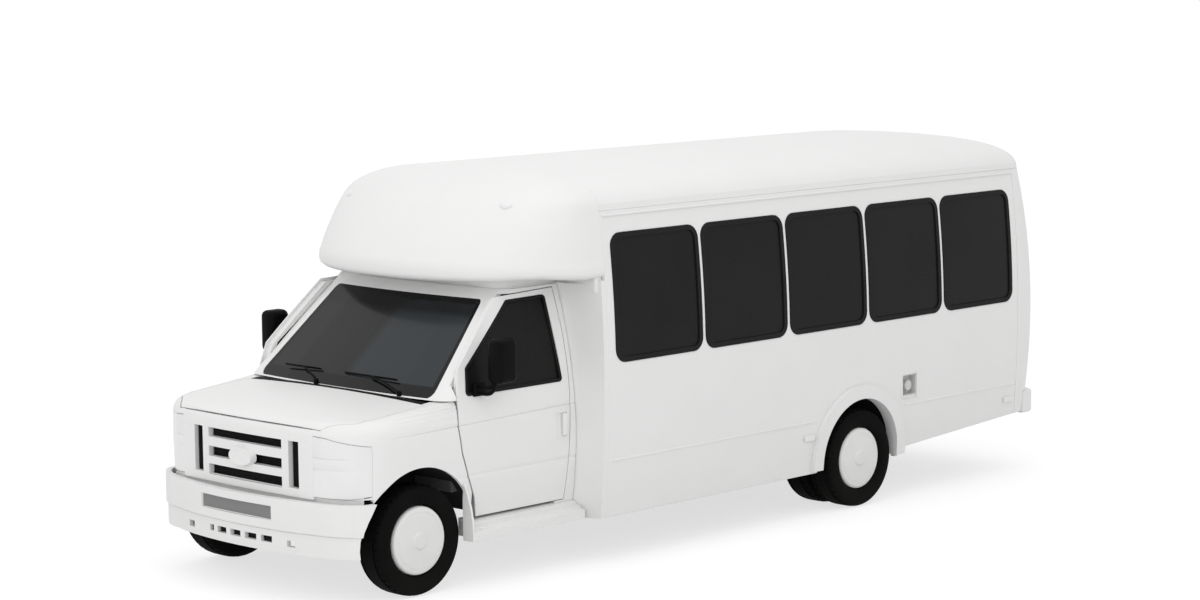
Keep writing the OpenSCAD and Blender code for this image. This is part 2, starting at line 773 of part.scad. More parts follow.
// one seat facing forward, centred on X = 0 with its cushion's front at Y = 0
module seat(width, base_h, back_h, cushion_l = 450) {
    cushion_t = 110;
    side_plate(-width/2, width/2) polygon([[0, base_h - cushion_t], [0, base_h - 20], [30, base_h],
        [cushion_l, base_h - 16], [cushion_l + 96, base_h + back_h - 30], [cushion_l + 130, base_h + back_h],
        [cushion_l + 186, base_h + back_h - 20], [cushion_l + 92, base_h - cushion_t]]);
}

module pedestal(x0, x1, y, z0, z1) { span([x0, y + 120, z0], [x1, y + 420, z1]); }

cab_seat_y = 790;
seat_pitch = (side_rear_y - coach_front_y - 240)/(seat_rows + 1);
function seat_y(row) = coach_front_y + 120 + row*seat_pitch;

module seats() color("#55585c") place() {
    // two in the cab
    for (x = [-550, 550]) {
        translate([x, cab_seat_y, 0]) seat(500, cab_floor_z + 390, 640, 400);
        pedestal(x - 150, x + 150, cab_seat_y - 60, cab_floor_z, cab_floor_z + 280);
    }
    // double seats each side of the aisle, with the entry kept clear
    inner_x = coach_x - wall_t - 60 - seat_w;
    for (row = [0:seat_rows]) for (s = [0, 1]) if (s == 0 || row > 0) mirror([s, 0, 0]) {
        y = seat_y(row);
        near_box = abs(y + 270 - wheelbase) < rear_arch_r + 260;
        translate([inner_x + seat_w/2, y, 0]) seat(seat_w, floor_z + seat_h, 620);
        pedestal(inner_x + 60, inner_x + 100, y, floor_z, floor_z + seat_h - 110);
        pedestal(inner_x + seat_w - 140, inner_x + seat_w - 100, y, near_box ? floor_z + 120 : floor_z,
            floor_z + seat_h - 110);
    }
}

// ---- nose ------------------------------------------------------------------

module nose_shell(inset = 0, thick = skin_t) {
    difference() {
        nose_form(inset);
        nose_form(inset + thick);
        span([-far, nose_back_y - 60, 0], [far, far, far]);
    }
}

hood_front_y = -548;
hood_back_y = 150;
// the hood seen from above
module hood_outline(shrink = 0) {
    offset(delta = -shrink) polygon(mirror_loop([[872, hood_back_y], [880, 20], [886, -278], [861, -406],
        [806, -459], [740, -530], [640, hood_front_y - 60], [300, hood_front_y - 75], [0, hood_front_y - 80]]));
}

module hood_space(shrink = 0) {
    intersection() {
        linear_extrude(2000) hood_outline(shrink);
        // its front edge sits above the grille and lamps
        side_plate(-far, far) polygon([[-800, 1092 + shrink], [-560, 1092 + shrink], [-470, 1030 + shrink],
            [-350, 1080 + shrink], [0, 1100 + shrink], [hood_back_y + 10, 1100 + shrink], [hood_back_y + 10, 1500], [-800, 1500]]);
    }
}

module hood() color("white") place() skin() intersection() {
    nose_shell();
    hood_space(panel_gap/2);
}

lamp_in_x = 640;
module lamp_space(shrink = 0) {
    both_sides() intersection() {
        cross_plate(-700, -370) offset(delta = -shrink)
            polygon([[lamp_in_x, 668], [lamp_in_x, 1052], [760, 1046], [cab_x + 10, 985], [cab_x + 10, 690], [900, 664]]);
        linear_extrude(2000) polygon([[0, -700], [cab_x + 20, -700], [cab_x + 20, -372 - shrink], [0, -372 - shrink]]);
    }
}

module headlamps() color("#f4f4f4") place() skin() intersection() {
    nose_shell(0, 60);
    lamp_space(seam);
}

module fender_space() {
    side_plate(-far, far) difference() {
        polygon([[-700, 640], [-342, 640], [nose_back_y, 240], [nose_back_y, 1190], [-700, 1300]]);
        translate([0, tyre_r]) circle(front_arch_r, $fn = 96);
        translate([-front_arch_r, -800]) square([2*front_arch_r, 800 + tyre_r]);
        door_outline(-panel_gap);
    }
}

module front_fenders() color("white") place() skin() difference() {
    intersection() {
        nose_shell();
        fender_space();
        union() {
            span([lamp_in_x + 4, -far, 0], [far, far, far]);
            span([-far, -far, 0], [-lamp_in_x - 4, far, far]);
        }
    }
    hood_space(-panel_gap/2);
    lamp_space(0);
    span([-far, -far, 0], [far, -366, 664]);
    // clear of the windscreen's foot, which the cowl closes
    span([-842, hood_back_y - 20, 900], [842, far, far]);
}

grille_top_z = 1090;
module grille_open(x0, x1, z0, z1) { span([x0, -900, z0], [x1, -300, z1]); }

module grille() color("white") place() skin() {
    difference() {
        intersection() {
            nose_shell(0, 46);
            span([seam - lamp_in_x, -far, 652], [lamp_in_x - seam, -300, grille_top_z - panel_gap]);
        }
        hood_space(-panel_gap/2);
        // three rows between two upright bars, and a slot beyond each bar
        for (row = [[697, 765], [815, 880], [940, 1000]]) grille_open(-362, 362, row[0], row[1]);
        both_sides() grille_open(425, 515, 705, 1000);
    }
    // latch plate that the hood's front rests on
    intersection() {
        nose_form(skin_t + seam);
        span([-120, nose_y + 30, 1020], [120, nose_y + 76, 1400]);
    }
    // plain oval boss on the centre bar
    translate([0, nose_y - 18, 855]) rotate([90, 0, 0]) scale([1, 0.53, 1]) linear_extrude(44, scale = 0.92)
        circle(118, $fn = 48);
}

bumper_top_z = 640;
bumper_foot_z = 301;
module bumper_plan(inset) {
    polygon(mirror_loop(concat([[cab_x + 6 - inset, -350]],
        [for (a = steps(0, 90, 9)) [cab_x + 6 - 250 + (250 - inset)*cos(a), -350 - 60 - (190 - inset)*sin(a)]],
        [for (x = steps(600, 0, 4)) [x, -600 - (front_overhang - 600)*(1 - pow(x/756, 2)) + inset]])));
}

module front_bumper() color("white") place() skin() difference() {
    union() {
        translate([0, 0, 440]) linear_extrude(bumper_top_z - 440) bumper_plan(0);
        // lower part tucked under the crease
        translate([0, 0, bumper_foot_z]) linear_extrude(440 - bumper_foot_z) bumper_plan(14);
    }
    translate([0, 0, bumper_foot_z - 10]) linear_extrude(bumper_top_z) bumper_plan(46);
    // recess for a blank plate
    span([-345, -900, 500], [345, 28 - front_overhang, 590]);
    // five intake slots and two lamp openings
    for (slot = [[-272, -231], [-191, -98], [-56, 45], [87, 195], [236, 334]])
        span([slot[0], -900, 355], [slot[1], -300, 395]);
    both_sides() span([460, -900, 345], [527, -300, 385]);
    // clear of the wheels
    bar_x(-far, far, 0, tyre_r, front_arch_r + 8);
}

module cab_steps() color("white") place() skin() both_sides() {
    top_z = step_top_z;
    out_x = cab_x + 78;
    wheel_side = cab_x - 16;
    // folded tread with a low ridge, cut back where the steered tyre swings
    difference() {
        cross_plate(360, coach_front_y - 110) polygon([[out_x, skirt_z], [out_x, 358], [out_x - 38, 370],
            [out_x - 42, 382], [out_x - 80, 394], [out_x - 84, 406], [out_x - 120, top_z], [cab_x - 152, top_z],
            [cab_x - 152, top_z - 18], [out_x - 124, top_z - 18], [out_x - 18, 345], [out_x - 18, skirt_z]]);
        span([0, 0, 0], [wheel_side, 446, far]);
    }
    span([cab_x - 152, 446, skirt_z], [out_x, 460, 370]);
    span([cab_x - 152, 446, skirt_z], [wheel_side, 460, top_z]);
    // splash panel behind the front wheel
    difference() {
        cross_plate(360, 376) polygon([[wheel_side, skirt_z], [out_x, skirt_z], [out_x, 358], [out_x - 6, 430],
            [out_x - 24, 520], [out_x - 52, 600], [out_x - 78, 660], [wheel_side, 690]]);
        nose_shell(-2, skin_t + 6);
    }
    // brackets down from the cab's sill
    for (y = [620, 1180]) {
        span([cab_x - 240, y, top_z - 40], [cab_x - 190, y + 40, cab_floor_z - floor_t]);
        span([cab_x - 240, y, top_z - 40], [cab_x - 130, y + 40, top_z - 16]);
    }
}

// top of the cowl at a place in plan
function cowl_z(x, y) = 1182 + 22*(1 - pow(x/872, 2)) + 0.08*(y - 200);

module wipers() color("#141414") place() {
    pivot_y = screen_y(1232) - 118;
    blade_y = screen_y(1290) - 76;
    // each blade lies just off the glass, on an arm from its post in the cowl
    for (w = [[-616, -251, -202], [-18, 490, 606]]) {
        span([w[0], blade_y - 10, 1284], [w[1], blade_y, 1296]);
        translate([w[2], pivot_y, cowl_z(w[2], pivot_y) + seam*4]) cylinder(h = 34, r = 14, $fn = 40);
        hull() {
            translate([w[2], pivot_y, cowl_z(w[2], pivot_y) + 26]) cube([12, 12, 8], center = true);
            translate([(w[0] + w[1])/2, blade_y - 12, 1290]) cube([10, 6, 8], center = true);
        }
    }
}

// ---- doors -----------------------------------------------------------------

module cab_skin(inset, thick) {
    difference() {
        cab_sides_form(inset);
        cab_sides_form(inset + thick);
        span([-far, 0, 0], [far, 180, far]);
    }
}

module door_panel() {
    difference() {
        for (layer = [[0, door_skin_t, 0], [door_skin_t/2, 51, door_flange]]) intersection() {
            cab_skin(layer[0], layer[1]);
            side_plate(cab_x/2, far) door_outline(panel_gap + layer[2]);
        }
        side_plate(0, far) door_window_outline(0);
    }
}

module door_glass() {
    intersection() {
        cab_skin(14, glass_t);
        side_plate(cab_x/2, far) door_window_outline(seam);
    }
}

// mirror head on two arms, seated on the door's skin
module mirror_assembly() {
    head_x = 1118;
    head_y = 596;
    foot_x = cab_half(1240);
    difference() {
        translate([head_x, head_y, 1290]) linear_extrude(286) soft_rect([-62, -110], [62, 110], 50);
        translate([head_x, head_y + 100, 1310]) linear_extrude(246) square([108, 40], center = true);
    }
    difference() {
        union() {
            for (z = [1226, 1262]) span([foot_x - 20, head_y - 96, z - 11], [head_x - 20, head_y - 74, z + 11]);
            span([foot_x - 20, head_y - 130, 1205], [foot_x + 14, head_y - 30, 1290]);
        }
        cab_sides_form(-seam);
    }
    span([head_x - 40, head_y - 96, 1215], [head_x - 18, head_y - 74, 1300]);
}

module driver_door() color("white") place() skin() door_panel();
module driver_door_glass() color("#202224") place() skin() door_glass();
module driver_mirror() color("#141414") place() skin() mirror_assembly();
module passenger_door() color("white") place() mirror([1, 0, 0]) skin() door_panel();
module passenger_door_glass() color("#202224") place() mirror([1, 0, 0]) skin() door_glass();
module passenger_mirror() color("#141414") place() mirror([1, 0, 0]) skin() mirror_assembly();

// ---- chassis ---------------------------------------------------------------

rail_x = 430;
rail_h = 170;
rail_w = 70;
rail_foot_z = 470;
rail_top_z = rail_foot_z + rail_h;

tie_r = 13;
tie_depth = 60;
tie_block_h = 75;
tie_front_y = 1100;
tie_rear_y = 1250;

frame_front = -470;
frame_back = side_rear_y + 100;
rail_upper_z = rail_top_z - floor_t - 2;

module frame_rails() color("#2b2b2b") place() for (x = [-rail_x, rail_x]) {
    span([x - rail_w/2, frame_front, rail_foot_z], [x + rail_w/2, frame_back, rail_upper_z]);
    // horns that carry the bumpers
    span([x - 30, -front_overhang + 80, 500], [x + 30, frame_front + 10, 590]);
    span([x - 30, frame_back - 10, 480], [x + 30, coach_rear_y - 130 - seam, 556]);
}

module crossmembers() color("#2b2b2b") place()
    for (y = [frame_front, 930, 2000, 3100, wheelbase + 700, frame_back - 80])
        span([rail_w/2 - rail_x, y, rail_foot_z + 20], [rail_x - rail_w/2, y + 70, rail_upper_z - 8]);

// under the coach floor, clear of the stepwell
module outriggers() color("#2b2b2b") place() difference() {
    for (y = [1700, 2500, 3300, wheelbase + 650, side_rear_y - 200])
        span([-coach_x + 120, y, rail_upper_z], [coach_x - 120, y + 50, floor_z - floor_t]);
    span([-coach_x, entry_y - 40, 0], [-coach_x + 600, entry_y + entry_w + 40, floor_z - 20]);
}

// blocks with a socket for a tie-down pin, under the rails
module tie_down_blocks() color("#2b2b2b") place()
    for (x = [-rail_x, rail_x]) for (y = [tie_front_y, wheelbase + tie_rear_y])
        difference() {
            span([x - 45, y - 50, rail_foot_z - tie_block_h], [x + 45, y + 50, rail_foot_z]);
            translate([x, y, rail_foot_z - tie_block_h - 1]) cylinder(h = tie_depth + 1, r = tie_r, $fn = 48);
        }

module engine_block() color("#4a4c4f") place() {
    span([-240, -420, 596], [240, 330, 1000]);
    // mounts on the rails
    for (s = [0, 1]) mirror([s, 0, 0]) span([240, -120, 598], [rail_x - rail_w/2, -40, 700]);
}

kingpin_x = front_wheel_x - tyre_w - 60;
axle_z = tyre_r;

module front_axle_beam() color("#33353a") place() {
    difference() {
        union() {
            span([-kingpin_x + 90, -42, axle_z - 85], [kingpin_x - 90, 42, axle_z + 5]);
            for (s = [0, 1]) mirror([s, 0, 0]) {
                // forked end that holds the kingpin
                translate([kingpin_x, 0, axle_z - 105]) cylinder(h = 30, r = 40, $fn = 48);
                translate([kingpin_x, 0, axle_z + 75]) cylinder(h = 30, r = 40, $fn = 48);
                span([kingpin_x - 100, -38, axle_z - 105], [kingpin_x, 38, axle_z - 75]);
                span([kingpin_x - 100, -38, axle_z + 75], [kingpin_x, 38, axle_z + 105]);
                span([kingpin_x - 100, -38, axle_z - 105], [kingpin_x - 70, 38, axle_z + 105]);
                // spring tower up to the rail
                translate([rail_x, 0, axle_z + 5]) cylinder(h = rail_foot_z - axle_z - 5, r = 62, $fn = 48);
            }
        }
        for (x = [-kingpin_x, kingpin_x]) translate([x, 0, 0]) cylinder(h = 900, r = kingpin_r + 0.05, $fn = 48);
    }
}

// knuckle on its kingpin, with the spindle out to the wheel
module knuckle() {
    translate([kingpin_x, 0, axle_z - 105]) cylinder(h = 210, r = kingpin_r, $fn = 48);
    translate([kingpin_x, 0, axle_z - 72]) cylinder(h = 144, r = 36, $fn = 48);
    bar_x(kingpin_x, front_wheel_x - tyre_w + 36, 0, axle_z, 46);
    bar_x(kingpin_x, front_wheel_x - 76, 0, axle_z, spindle_r);
    // steering arm
    span([kingpin_x - 16, -150, axle_z - 40], [kingpin_x + 16, -20, axle_z - 18]);
}

module left_knuckle() color("#4c4e52") place() knuckle();
module right_knuckle() color("#4c4e52") place() mirror([1, 0, 0]) knuckle();

// tyre with a rounded tread, outer face at x = 0, running inboard
module tyre() {
    w = tyre_w;
    r = tyre_r;
    wall = r - rim_r;
    low = rim_r + 0.29*wall;
    rotate([0, -90, 0]) rotate_extrude($fn = 96) polygon([[rim_r + 2, 16], [low, 4], [r - 0.54*wall, 0],
        [r - 30, 8], [r - 10, 22], [r - 1, 44], [r, w/2], [r - 1, w - 44], [r - 10, w - 22], [r - 30, w - 8],
        [r - 0.54*wall, w], [low, w - 4], [rim_r + 2, w - 16]]);
}

// rim with its domed cover, outer face at x = 0
module rim(cover) {
    w = tyre_w;
    rotate([0, -90, 0]) rotate_extrude($fn = 96) polygon(cover
        ? [[spindle_r + 1, 74], [spindle_r + 1, 66], [0, 66], [0, -10], [44, -10], [52, -2], [66, 2], [rim_r - 40, 6],
            [rim_r - 12, 8], [rim_r, 17], [rim_r + 1.6, 20], [rim_r + 1.6, w - 16], [rim_r - 16, w - 16],
            [rim_r - 16, 92], [110, 92], [96, 150], [spindle_r + 30, 150], [spindle_r + 0.05, 150], [spindle_r + 0.05, 74]]
        : [[96, w - 40], [rim_r - 16, w - 40], [rim_r - 16, 16], [rim_r + 1.6, 16], [rim_r + 1.6, w - 16],
            [rim_r - 30, w - 14], [96, w - 18]]);
}

module front_wheel_place(side) {
    place() mirror([side < 0 ? 1 : 0, 0, 0]) translate([front_wheel_x, 0, tyre_r]) children();
}

// outer then inner wheel of a twin pair
module twin_place(side) {
    place() mirror([side < 0 ? 1 : 0, 0, 0]) translate([rear_wheel_x, wheelbase, tyre_r]) children();
}

module front_left_tyre() color("#1b1b1b") front_wheel_place(1) tyre();
module front_right_tyre() color("#1b1b1b") front_wheel_place(-1) tyre();
module front_left_rim() color("white") front_wheel_place(1) rim(true);
module front_right_rim() color("white") front_wheel_place(-1) rim(true);

module twin_tyres() {
    tyre();
    translate([-tyre_w - twin_gap, 0, 0]) tyre();
}

hub_x = 2*tyre_w + twin_gap;
module twin_rims() {
    rim_face = 60;
    rotate([0, -90, 0]) rotate_extrude($fn = 96) polygon([[0, 0], [44, 0], [52, 8], [66, 14], [rim_r - 40, 14],
        [rim_r - 12, 14], [rim_r + 1.6, 20], [rim_r + 1.6, tyre_w - 16], [rim_r - 16, tyre_w - 16],
        [rim_r - 16, rim_face], [130, rim_face], [130, tyre_w + twin_gap + rim_face], [rim_r - 16, tyre_w + twin_gap + rim_face],
        [rim_r - 16, tyre_w + twin_gap + 20], [rim_r + 1.6, tyre_w + twin_gap + 20], [rim_r + 1.6, hub_x - 16],
        [rim_r - 16, hub_x - 16], [rim_r - 16, tyre_w + twin_gap + rim_face + 20], [100, tyre_w + twin_gap + rim_face + 20],
        [100, 200], [spindle_r + 0.05, 200], [spindle_r + 0.05, rim_face + 20], [0, rim_face + 20]]);
}

module rear_left_tyres() color("#1b1b1b") twin_place(1) twin_tyres();
module rear_right_tyres() color("#1b1b1b") twin_place(-1) twin_tyres();
module rear_left_rims() color("white") twin_place(1) twin_rims();
module rear_right_rims() color("white") twin_place(-1) twin_rims();

module rear_axle() color("#33353a") place() {
    for (s = [0, 1]) mirror([s, 0, 0]) {
        // spindle inside the wheels and the tube between them
        bar_x(200, rear_wheel_x - 90, wheelbase, axle_z, spindle_r);
        bar_x(120, rear_wheel_x - hub_x + 90, wheelbase, axle_z, 52);
        // leaf spring from the rail's hangers, over the axle
        side_plate(rail_x - 36, rail_x + 36) polygon([[wheelbase - 640, rail_foot_z - 6], [wheelbase - 640, rail_foot_z],
            [wheelbase - 590, rail_foot_z], [wheelbase - 560, rail_foot_z - 30], [wheelbase, axle_z + 84],
            [wheelbase + 560, rail_foot_z - 30], [wheelbase + 590, rail_foot_z], [wheelbase + 640, rail_foot_z],
            [wheelbase + 640, rail_foot_z - 40], [wheelbase + 300, axle_z + 60], [wheelbase + 60, axle_z + 40],
            [wheelbase - 60, axle_z + 40], [wheelbase - 300, axle_z + 60], [wheelbase - 640, rail_foot_z - 40]]);
        span([rail_x - 40, wheelbase - 50, axle_z + 20], [rail_x + 40, wheelbase + 50, axle_z + 70]);
    }
    // differential, and the shaft forward to the gearbox
    bar_y(wheelbase - 130, wheelbase + 120, 0, axle_z, 165);
    bar_y(560, wheelbase - 120, 0, axle_z + 76, 45);
    // gearbox behind the engine
    span([-130, 331, axle_z + 60], [130, 900, 590]);
}

module exhaust() color("#6d6f73") place() {
    z = 446;
    outlet_y = wheelbase + 700;
    bar_y(360, outlet_y, -230, z, 32);
    bar_x(120 - coach_x, -230, outlet_y, z - 12, 32);
    bar_y(2200, 2900, -230, z, 105);
    // hanger up to the rail
    span([-rail_x + rail_w/2, 2500, z], [-300, 2530, z + 60]);
}

module fuel_tank() color("#26272a") place() {
    back = side_rear_y - 60;
    span([-370, wheelbase + 780, 360], [370, back, rail_foot_z + 19]);
    // straps out to the rails
    for (y = [wheelbase + 900, back - 160])
        span([-rail_x + rail_w/2, y, rail_foot_z + 6], [rail_x - rail_w/2, y + 50, rail_foot_z + 19]);
}

// ---- parts -----------------------------------------------------------------

frame_rails();
crossmembers();
outriggers();
tie_down_blocks();
engine_block();
front_axle_beam();
rear_axle();
exhaust();
fuel_tank();
cab_shell();
cab_floor();
dashboard();
seats();
windscreen();
cowl_panel();
wipers();
front_fenders();
grille();
headlamps();
front_bumper();
cab_steps();
front_cap();
coach_front_wall();
left_side_wall();
right_side_wall();
rear_wall();
roof();
coach_floor();
window_frames();
window_glass();
arch_flares();
fuel_filler();
lamps();
rear_bumper();
hood();
driver_door();
driver_door_glass();
driver_mirror();
passenger_door();
passenger_door_glass();
passenger_mirror();
entry_front_leaf();
entry_rear_leaf();
rear_door();
left_knuckle();
right_knuckle();
front_left_tyre();
front_left_rim();
front_right_tyre();
front_right_rim();
rear_left_tyres();
rear_left_rims();
rear_right_tyres();
rear_right_rims();
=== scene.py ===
import json
import math

import bpy
from mathutils import Matrix, Vector
from mathutils.bvhtree import BVHTree

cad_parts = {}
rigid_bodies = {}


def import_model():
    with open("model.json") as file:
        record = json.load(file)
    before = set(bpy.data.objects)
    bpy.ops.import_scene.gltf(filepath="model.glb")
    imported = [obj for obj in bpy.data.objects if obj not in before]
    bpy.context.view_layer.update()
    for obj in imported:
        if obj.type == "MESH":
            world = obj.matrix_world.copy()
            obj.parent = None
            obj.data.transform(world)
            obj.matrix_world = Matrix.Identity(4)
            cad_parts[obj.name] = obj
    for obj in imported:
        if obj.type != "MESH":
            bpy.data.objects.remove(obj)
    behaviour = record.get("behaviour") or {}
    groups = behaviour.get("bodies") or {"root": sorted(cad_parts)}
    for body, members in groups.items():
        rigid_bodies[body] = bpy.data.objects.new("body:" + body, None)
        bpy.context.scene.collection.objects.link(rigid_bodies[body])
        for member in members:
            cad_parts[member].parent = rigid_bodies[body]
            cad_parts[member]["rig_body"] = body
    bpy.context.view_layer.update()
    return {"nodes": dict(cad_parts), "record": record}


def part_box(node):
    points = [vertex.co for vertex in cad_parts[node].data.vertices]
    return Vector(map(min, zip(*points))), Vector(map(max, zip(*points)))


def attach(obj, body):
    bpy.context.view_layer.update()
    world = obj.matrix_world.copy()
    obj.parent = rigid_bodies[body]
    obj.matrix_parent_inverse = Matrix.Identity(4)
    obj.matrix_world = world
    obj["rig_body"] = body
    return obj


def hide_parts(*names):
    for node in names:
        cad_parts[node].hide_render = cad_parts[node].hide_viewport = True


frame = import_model()
nodes = frame["nodes"]
bodyOf = {name: obj["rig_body"] for name, obj in nodes.items()}
slotOf = {part["node"]: part["material_slot"] for part in frame["record"]["subparts"]}

# places along the bus are easiest to read as metres behind the front axle
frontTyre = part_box("front_left_tyre")
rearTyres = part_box("rear_left_tyres")
axleY = (frontTyre[0].y + frontTyre[1].y) / 2
rearAxle = (rearTyres[0].y + rearTyres[1].y) / 2 - axleY
wheelR = (frontTyre[1].y - frontTyre[0].y) / 2

# helpers for hand modelling


def clearSelection():
    # leaves nothing selected, in object mode
    if bpy.context.object and bpy.context.object.mode != "OBJECT":
        bpy.ops.object.mode_set(mode="OBJECT")
    bpy.ops.object.select_all(action="DESELECT")


def takeUp(obj):
    clearSelection()
    obj.select_set(True)
    bpy.context.view_layer.objects.active = obj
    return obj


def settle(obj):
    # puts the object's place, turn and size into its mesh
    takeUp(obj)
    bpy.ops.object.transform_apply(location=True, rotation=True, scale=True)
    return obj


def editAll(obj):
    takeUp(obj)
    bpy.ops.object.mode_set(mode="EDIT")
    bpy.ops.mesh.select_all(action="SELECT")


def objectMode():
    bpy.ops.object.mode_set(mode="OBJECT")


def pick(obj, test, kind="FACE"):
    # stays in edit mode, with the faces, edges or points that pass the test selected
    takeUp(obj)
    bpy.ops.object.mode_set(mode="EDIT")
    bpy.ops.mesh.select_mode(type=kind)
    bpy.ops.mesh.select_all(action="DESELECT")
    objectMode()
    mesh = obj.data
    if kind == "FACE":
        for face in mesh.polygons:
            face.select = bool(test(face.center, face.normal))
    elif kind == "EDGE":
        for edge in mesh.edges:
            a, b = (mesh.vertices[i].co for i in edge.vertices)
            edge.select = bool(test((a + b) / 2, (b - a).normalized()))
    else:
        for point in mesh.vertices:
            point.select = bool(test(point.co, point.normal))
    bpy.ops.object.mode_set(mode="EDIT")


def addModifier(obj, kind, **values):
    takeUp(obj)
    modifier = obj.modifiers.new(kind.title(), kind)
    for key, value in values.items():
        setattr(modifier, key, value)
    return modifier


def applyAll(obj):
    takeUp(obj)
    for modifier in list(obj.modifiers):
        bpy.ops.object.modifier_apply(modifier=modifier.name)


def deleteFaces(obj, test):
    pick(obj, test)
    bpy.ops.mesh.delete(type="FACE")
    objectMode()


def insetFaces(obj, test, *steps):
    # each step is one inset's thickness and depth
    pick(obj, test)
    for thickness, depth in steps:
        bpy.ops.mesh.inset(thickness=thickness, depth=depth)
    objectMode()


def thicken(obj, thickness, offset=-1):
    addModifier(obj, "SOLIDIFY", thickness=thickness, offset=offset)
    applyAll(obj)


def softEdges(obj, width, angle=32, segments=2):
    # a live bevel on the sharp edges, with smooth shading
    addModifier(obj, "BEVEL", width=width, segments=segments, limit_method="ANGLE",
                angle_limit=math.radians(angle), use_clamp_overlap=True)
    takeUp(obj)
    bpy.ops.object.shade_smooth_by_angle(angle=math.radians(34))


def block(name, low, high, radius=0.003, segments=2):
    # a box between two corners with rounded edges, ready for more shaping
    low, high = Vector(low), Vector(high)
    clearSelection()
    bpy.ops.mesh.primitive_cube_add(size=1, location=(low + high) / 2)
    obj = bpy.context.object
    obj.name = name
    obj.scale = high - low
    settle(obj)
    if radius:
        editAll(obj)
        bpy.ops.mesh.bevel(offset=radius, segments=segments, affect="EDGES")
        objectMode()
    return obj


def sortCorners(a, b):
    return tuple(map(min, a, b)), tuple(map(max, a, b))


def linkMesh(name, points=(), edges=(), faces=(), mesh=None):
    # a new object at the origin, from points or from a mesh that is ready
    if mesh is None:
        mesh = bpy.data.meshes.new(name)
        mesh.from_pydata(points, edges, faces)
    obj = bpy.data.objects.new(name, mesh)
    bpy.context.scene.collection.objects.link(obj)
    return obj


def drum(name, centre, radius, depth, axis="X", vertices=40, bevel=0.003):
    turn = {"X": (0, math.pi / 2, 0), "Y": (math.pi / 2, 0, 0), "Z": (0, 0, 0)}[axis]
    clearSelection()
    bpy.ops.mesh.primitive_cylinder_add(vertices=vertices, radius=radius, depth=depth, location=centre, rotation=turn)
    obj = bpy.context.object
    obj.name = name
    settle(obj)
    if bevel:
        pick(obj, lambda c, n: abs(n["XYZ".index(axis)]) > 0.9)
        bpy.ops.mesh.bevel(offset=bevel, segments=2, affect="EDGES")
        objectMode()
    return obj


def tube(name, points, radius, sides=6, closed=False):
    # a bent pipe along a smooth path, turned into a mesh
    curve = bpy.data.curves.new(name, "CURVE")
    curve.dimensions = "3D"
    curve.bevel_depth = radius
    curve.bevel_resolution = sides
    curve.resolution_u = 8
    curve.use_fill_caps = not closed
    spline = curve.splines.new("NURBS")
    spline.points.add(len(points) - 1)
    for point, place in zip(spline.points, points):
        point.co = (*place, 1)
    spline.order_u = 3
    spline.use_endpoint_u = not closed
    spline.use_cyclic_u = closed
    obj = bpy.data.objects.new(name, curve)
    bpy.context.scene.collection.objects.link(obj)
    takeUp(obj)
    bpy.ops.object.convert(target="MESH")
    obj = bpy.context.object
    obj.name = name
    return obj


def join(name, parts):
    # the parts as one mesh under one name
    clearSelection()
    for part in parts:
        part.select_set(True)
    bpy.context.view_layer.objects.active = parts[0]
    if len(parts) > 1:
        bpy.ops.object.join()
    obj = bpy.context.object
    obj.name = name
    obj.data.name = name
    return obj


def twin(obj, name, shift=(0, 0, 0), angle=0.0):
    # another of the same, with a mesh of its own, turned about X and then moved
    mesh = obj.data.copy()
    mesh.transform(Matrix.Translation(shift) @ Matrix.Rotation(angle, 4, "X"))
    return linkMesh(name, mesh=mesh)


def finishPiece(obj, body, material, slot=None, replaces=(), angle=34):
    # smooth shading, material, body and the CAD nodes that the piece stands for; slot is not used
    takeUp(obj)
    if obj.type == "MESH":
        bpy.ops.object.shade_smooth_by_angle(angle=math.radians(angle))
    obj.data.materials.clear()
    obj.data.materials.append(material)
    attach(obj, body)
    if replaces:
        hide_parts(*replaces)
    return obj


skins = {}


def touch(node, start, direction):
    # the first point of a CAD node's skin met from start, and the way it faces
    if node not in skins:
        mesh = nodes[node].data
        skins[node] = BVHTree.FromPolygons([p.co for p in mesh.vertices], [tuple(f.vertices) for f in mesh.polygons])
    return skins[node].ray_cast(Vector(start), Vector(direction))[:2]


def skinX(node, y, z, side=1):
    # where a node's outer skin is, looking straight at the bus's side
    spot = touch(node, (3 * side, y, z), (-side, 0, 0))[0]
    return spot.x if spot else None


def skinSheet(name, columns, rows, spot, thickness):
    # a thin sheet whose points come from spot(u, v), with u and v from 0 to 1
    clearSelection()
    bpy.ops.mesh.primitive_grid_add(x_subdivisions=columns, y_subdivisions=rows, size=1)
    obj = bpy.context.object
    obj.name = name
    for point in obj.data.vertices:
        point.co = spot(point.co.x + 0.5, point.co.y + 0.5)
    thicken(obj, thickness, 0)
    editAll(obj)
    bpy.ops.mesh.normals_make_consistent(inside=False)
    objectMode()
    return obj


def between(low, high, share):
    return low + (high - low) * share


def clamp01(value):
    return min(1, max(0, value))


# effects that several finishes share

def newGroup(name, inputs, outputs):
    # a shader group of plain numbers, with its two ends
    group = bpy.data.node_groups.new(name, "ShaderNodeTree")
    for label, value in inputs.items():
        group.interface.new_socket(name=label, in_out="INPUT", socket_type="NodeSocketFloat").default_value = value
    for label in outputs:
        group.interface.new_socket(name=label, in_out="OUTPUT", socket_type="NodeSocketFloat")
    return group, group.nodes.new("NodeGroupInput"), group.nodes.new("NodeGroupOutput")


def place(tree, kind, **values):
    node = tree.nodes.new(kind)
    for key, value in values.items():
        setattr(node, key, value)
    return node


def mathNode(tree, operation, a, b, clamp=False):
    node = place(tree, "ShaderNodeMath", operation=operation, use_clamp=clamp)
    for socket, value in zip(node.inputs, (a, b)):
        if isinstance(value, (int, float)):
            socket.default_value = value
        else:
            tree.links.new(value, socket)
    return node.outputs[0]


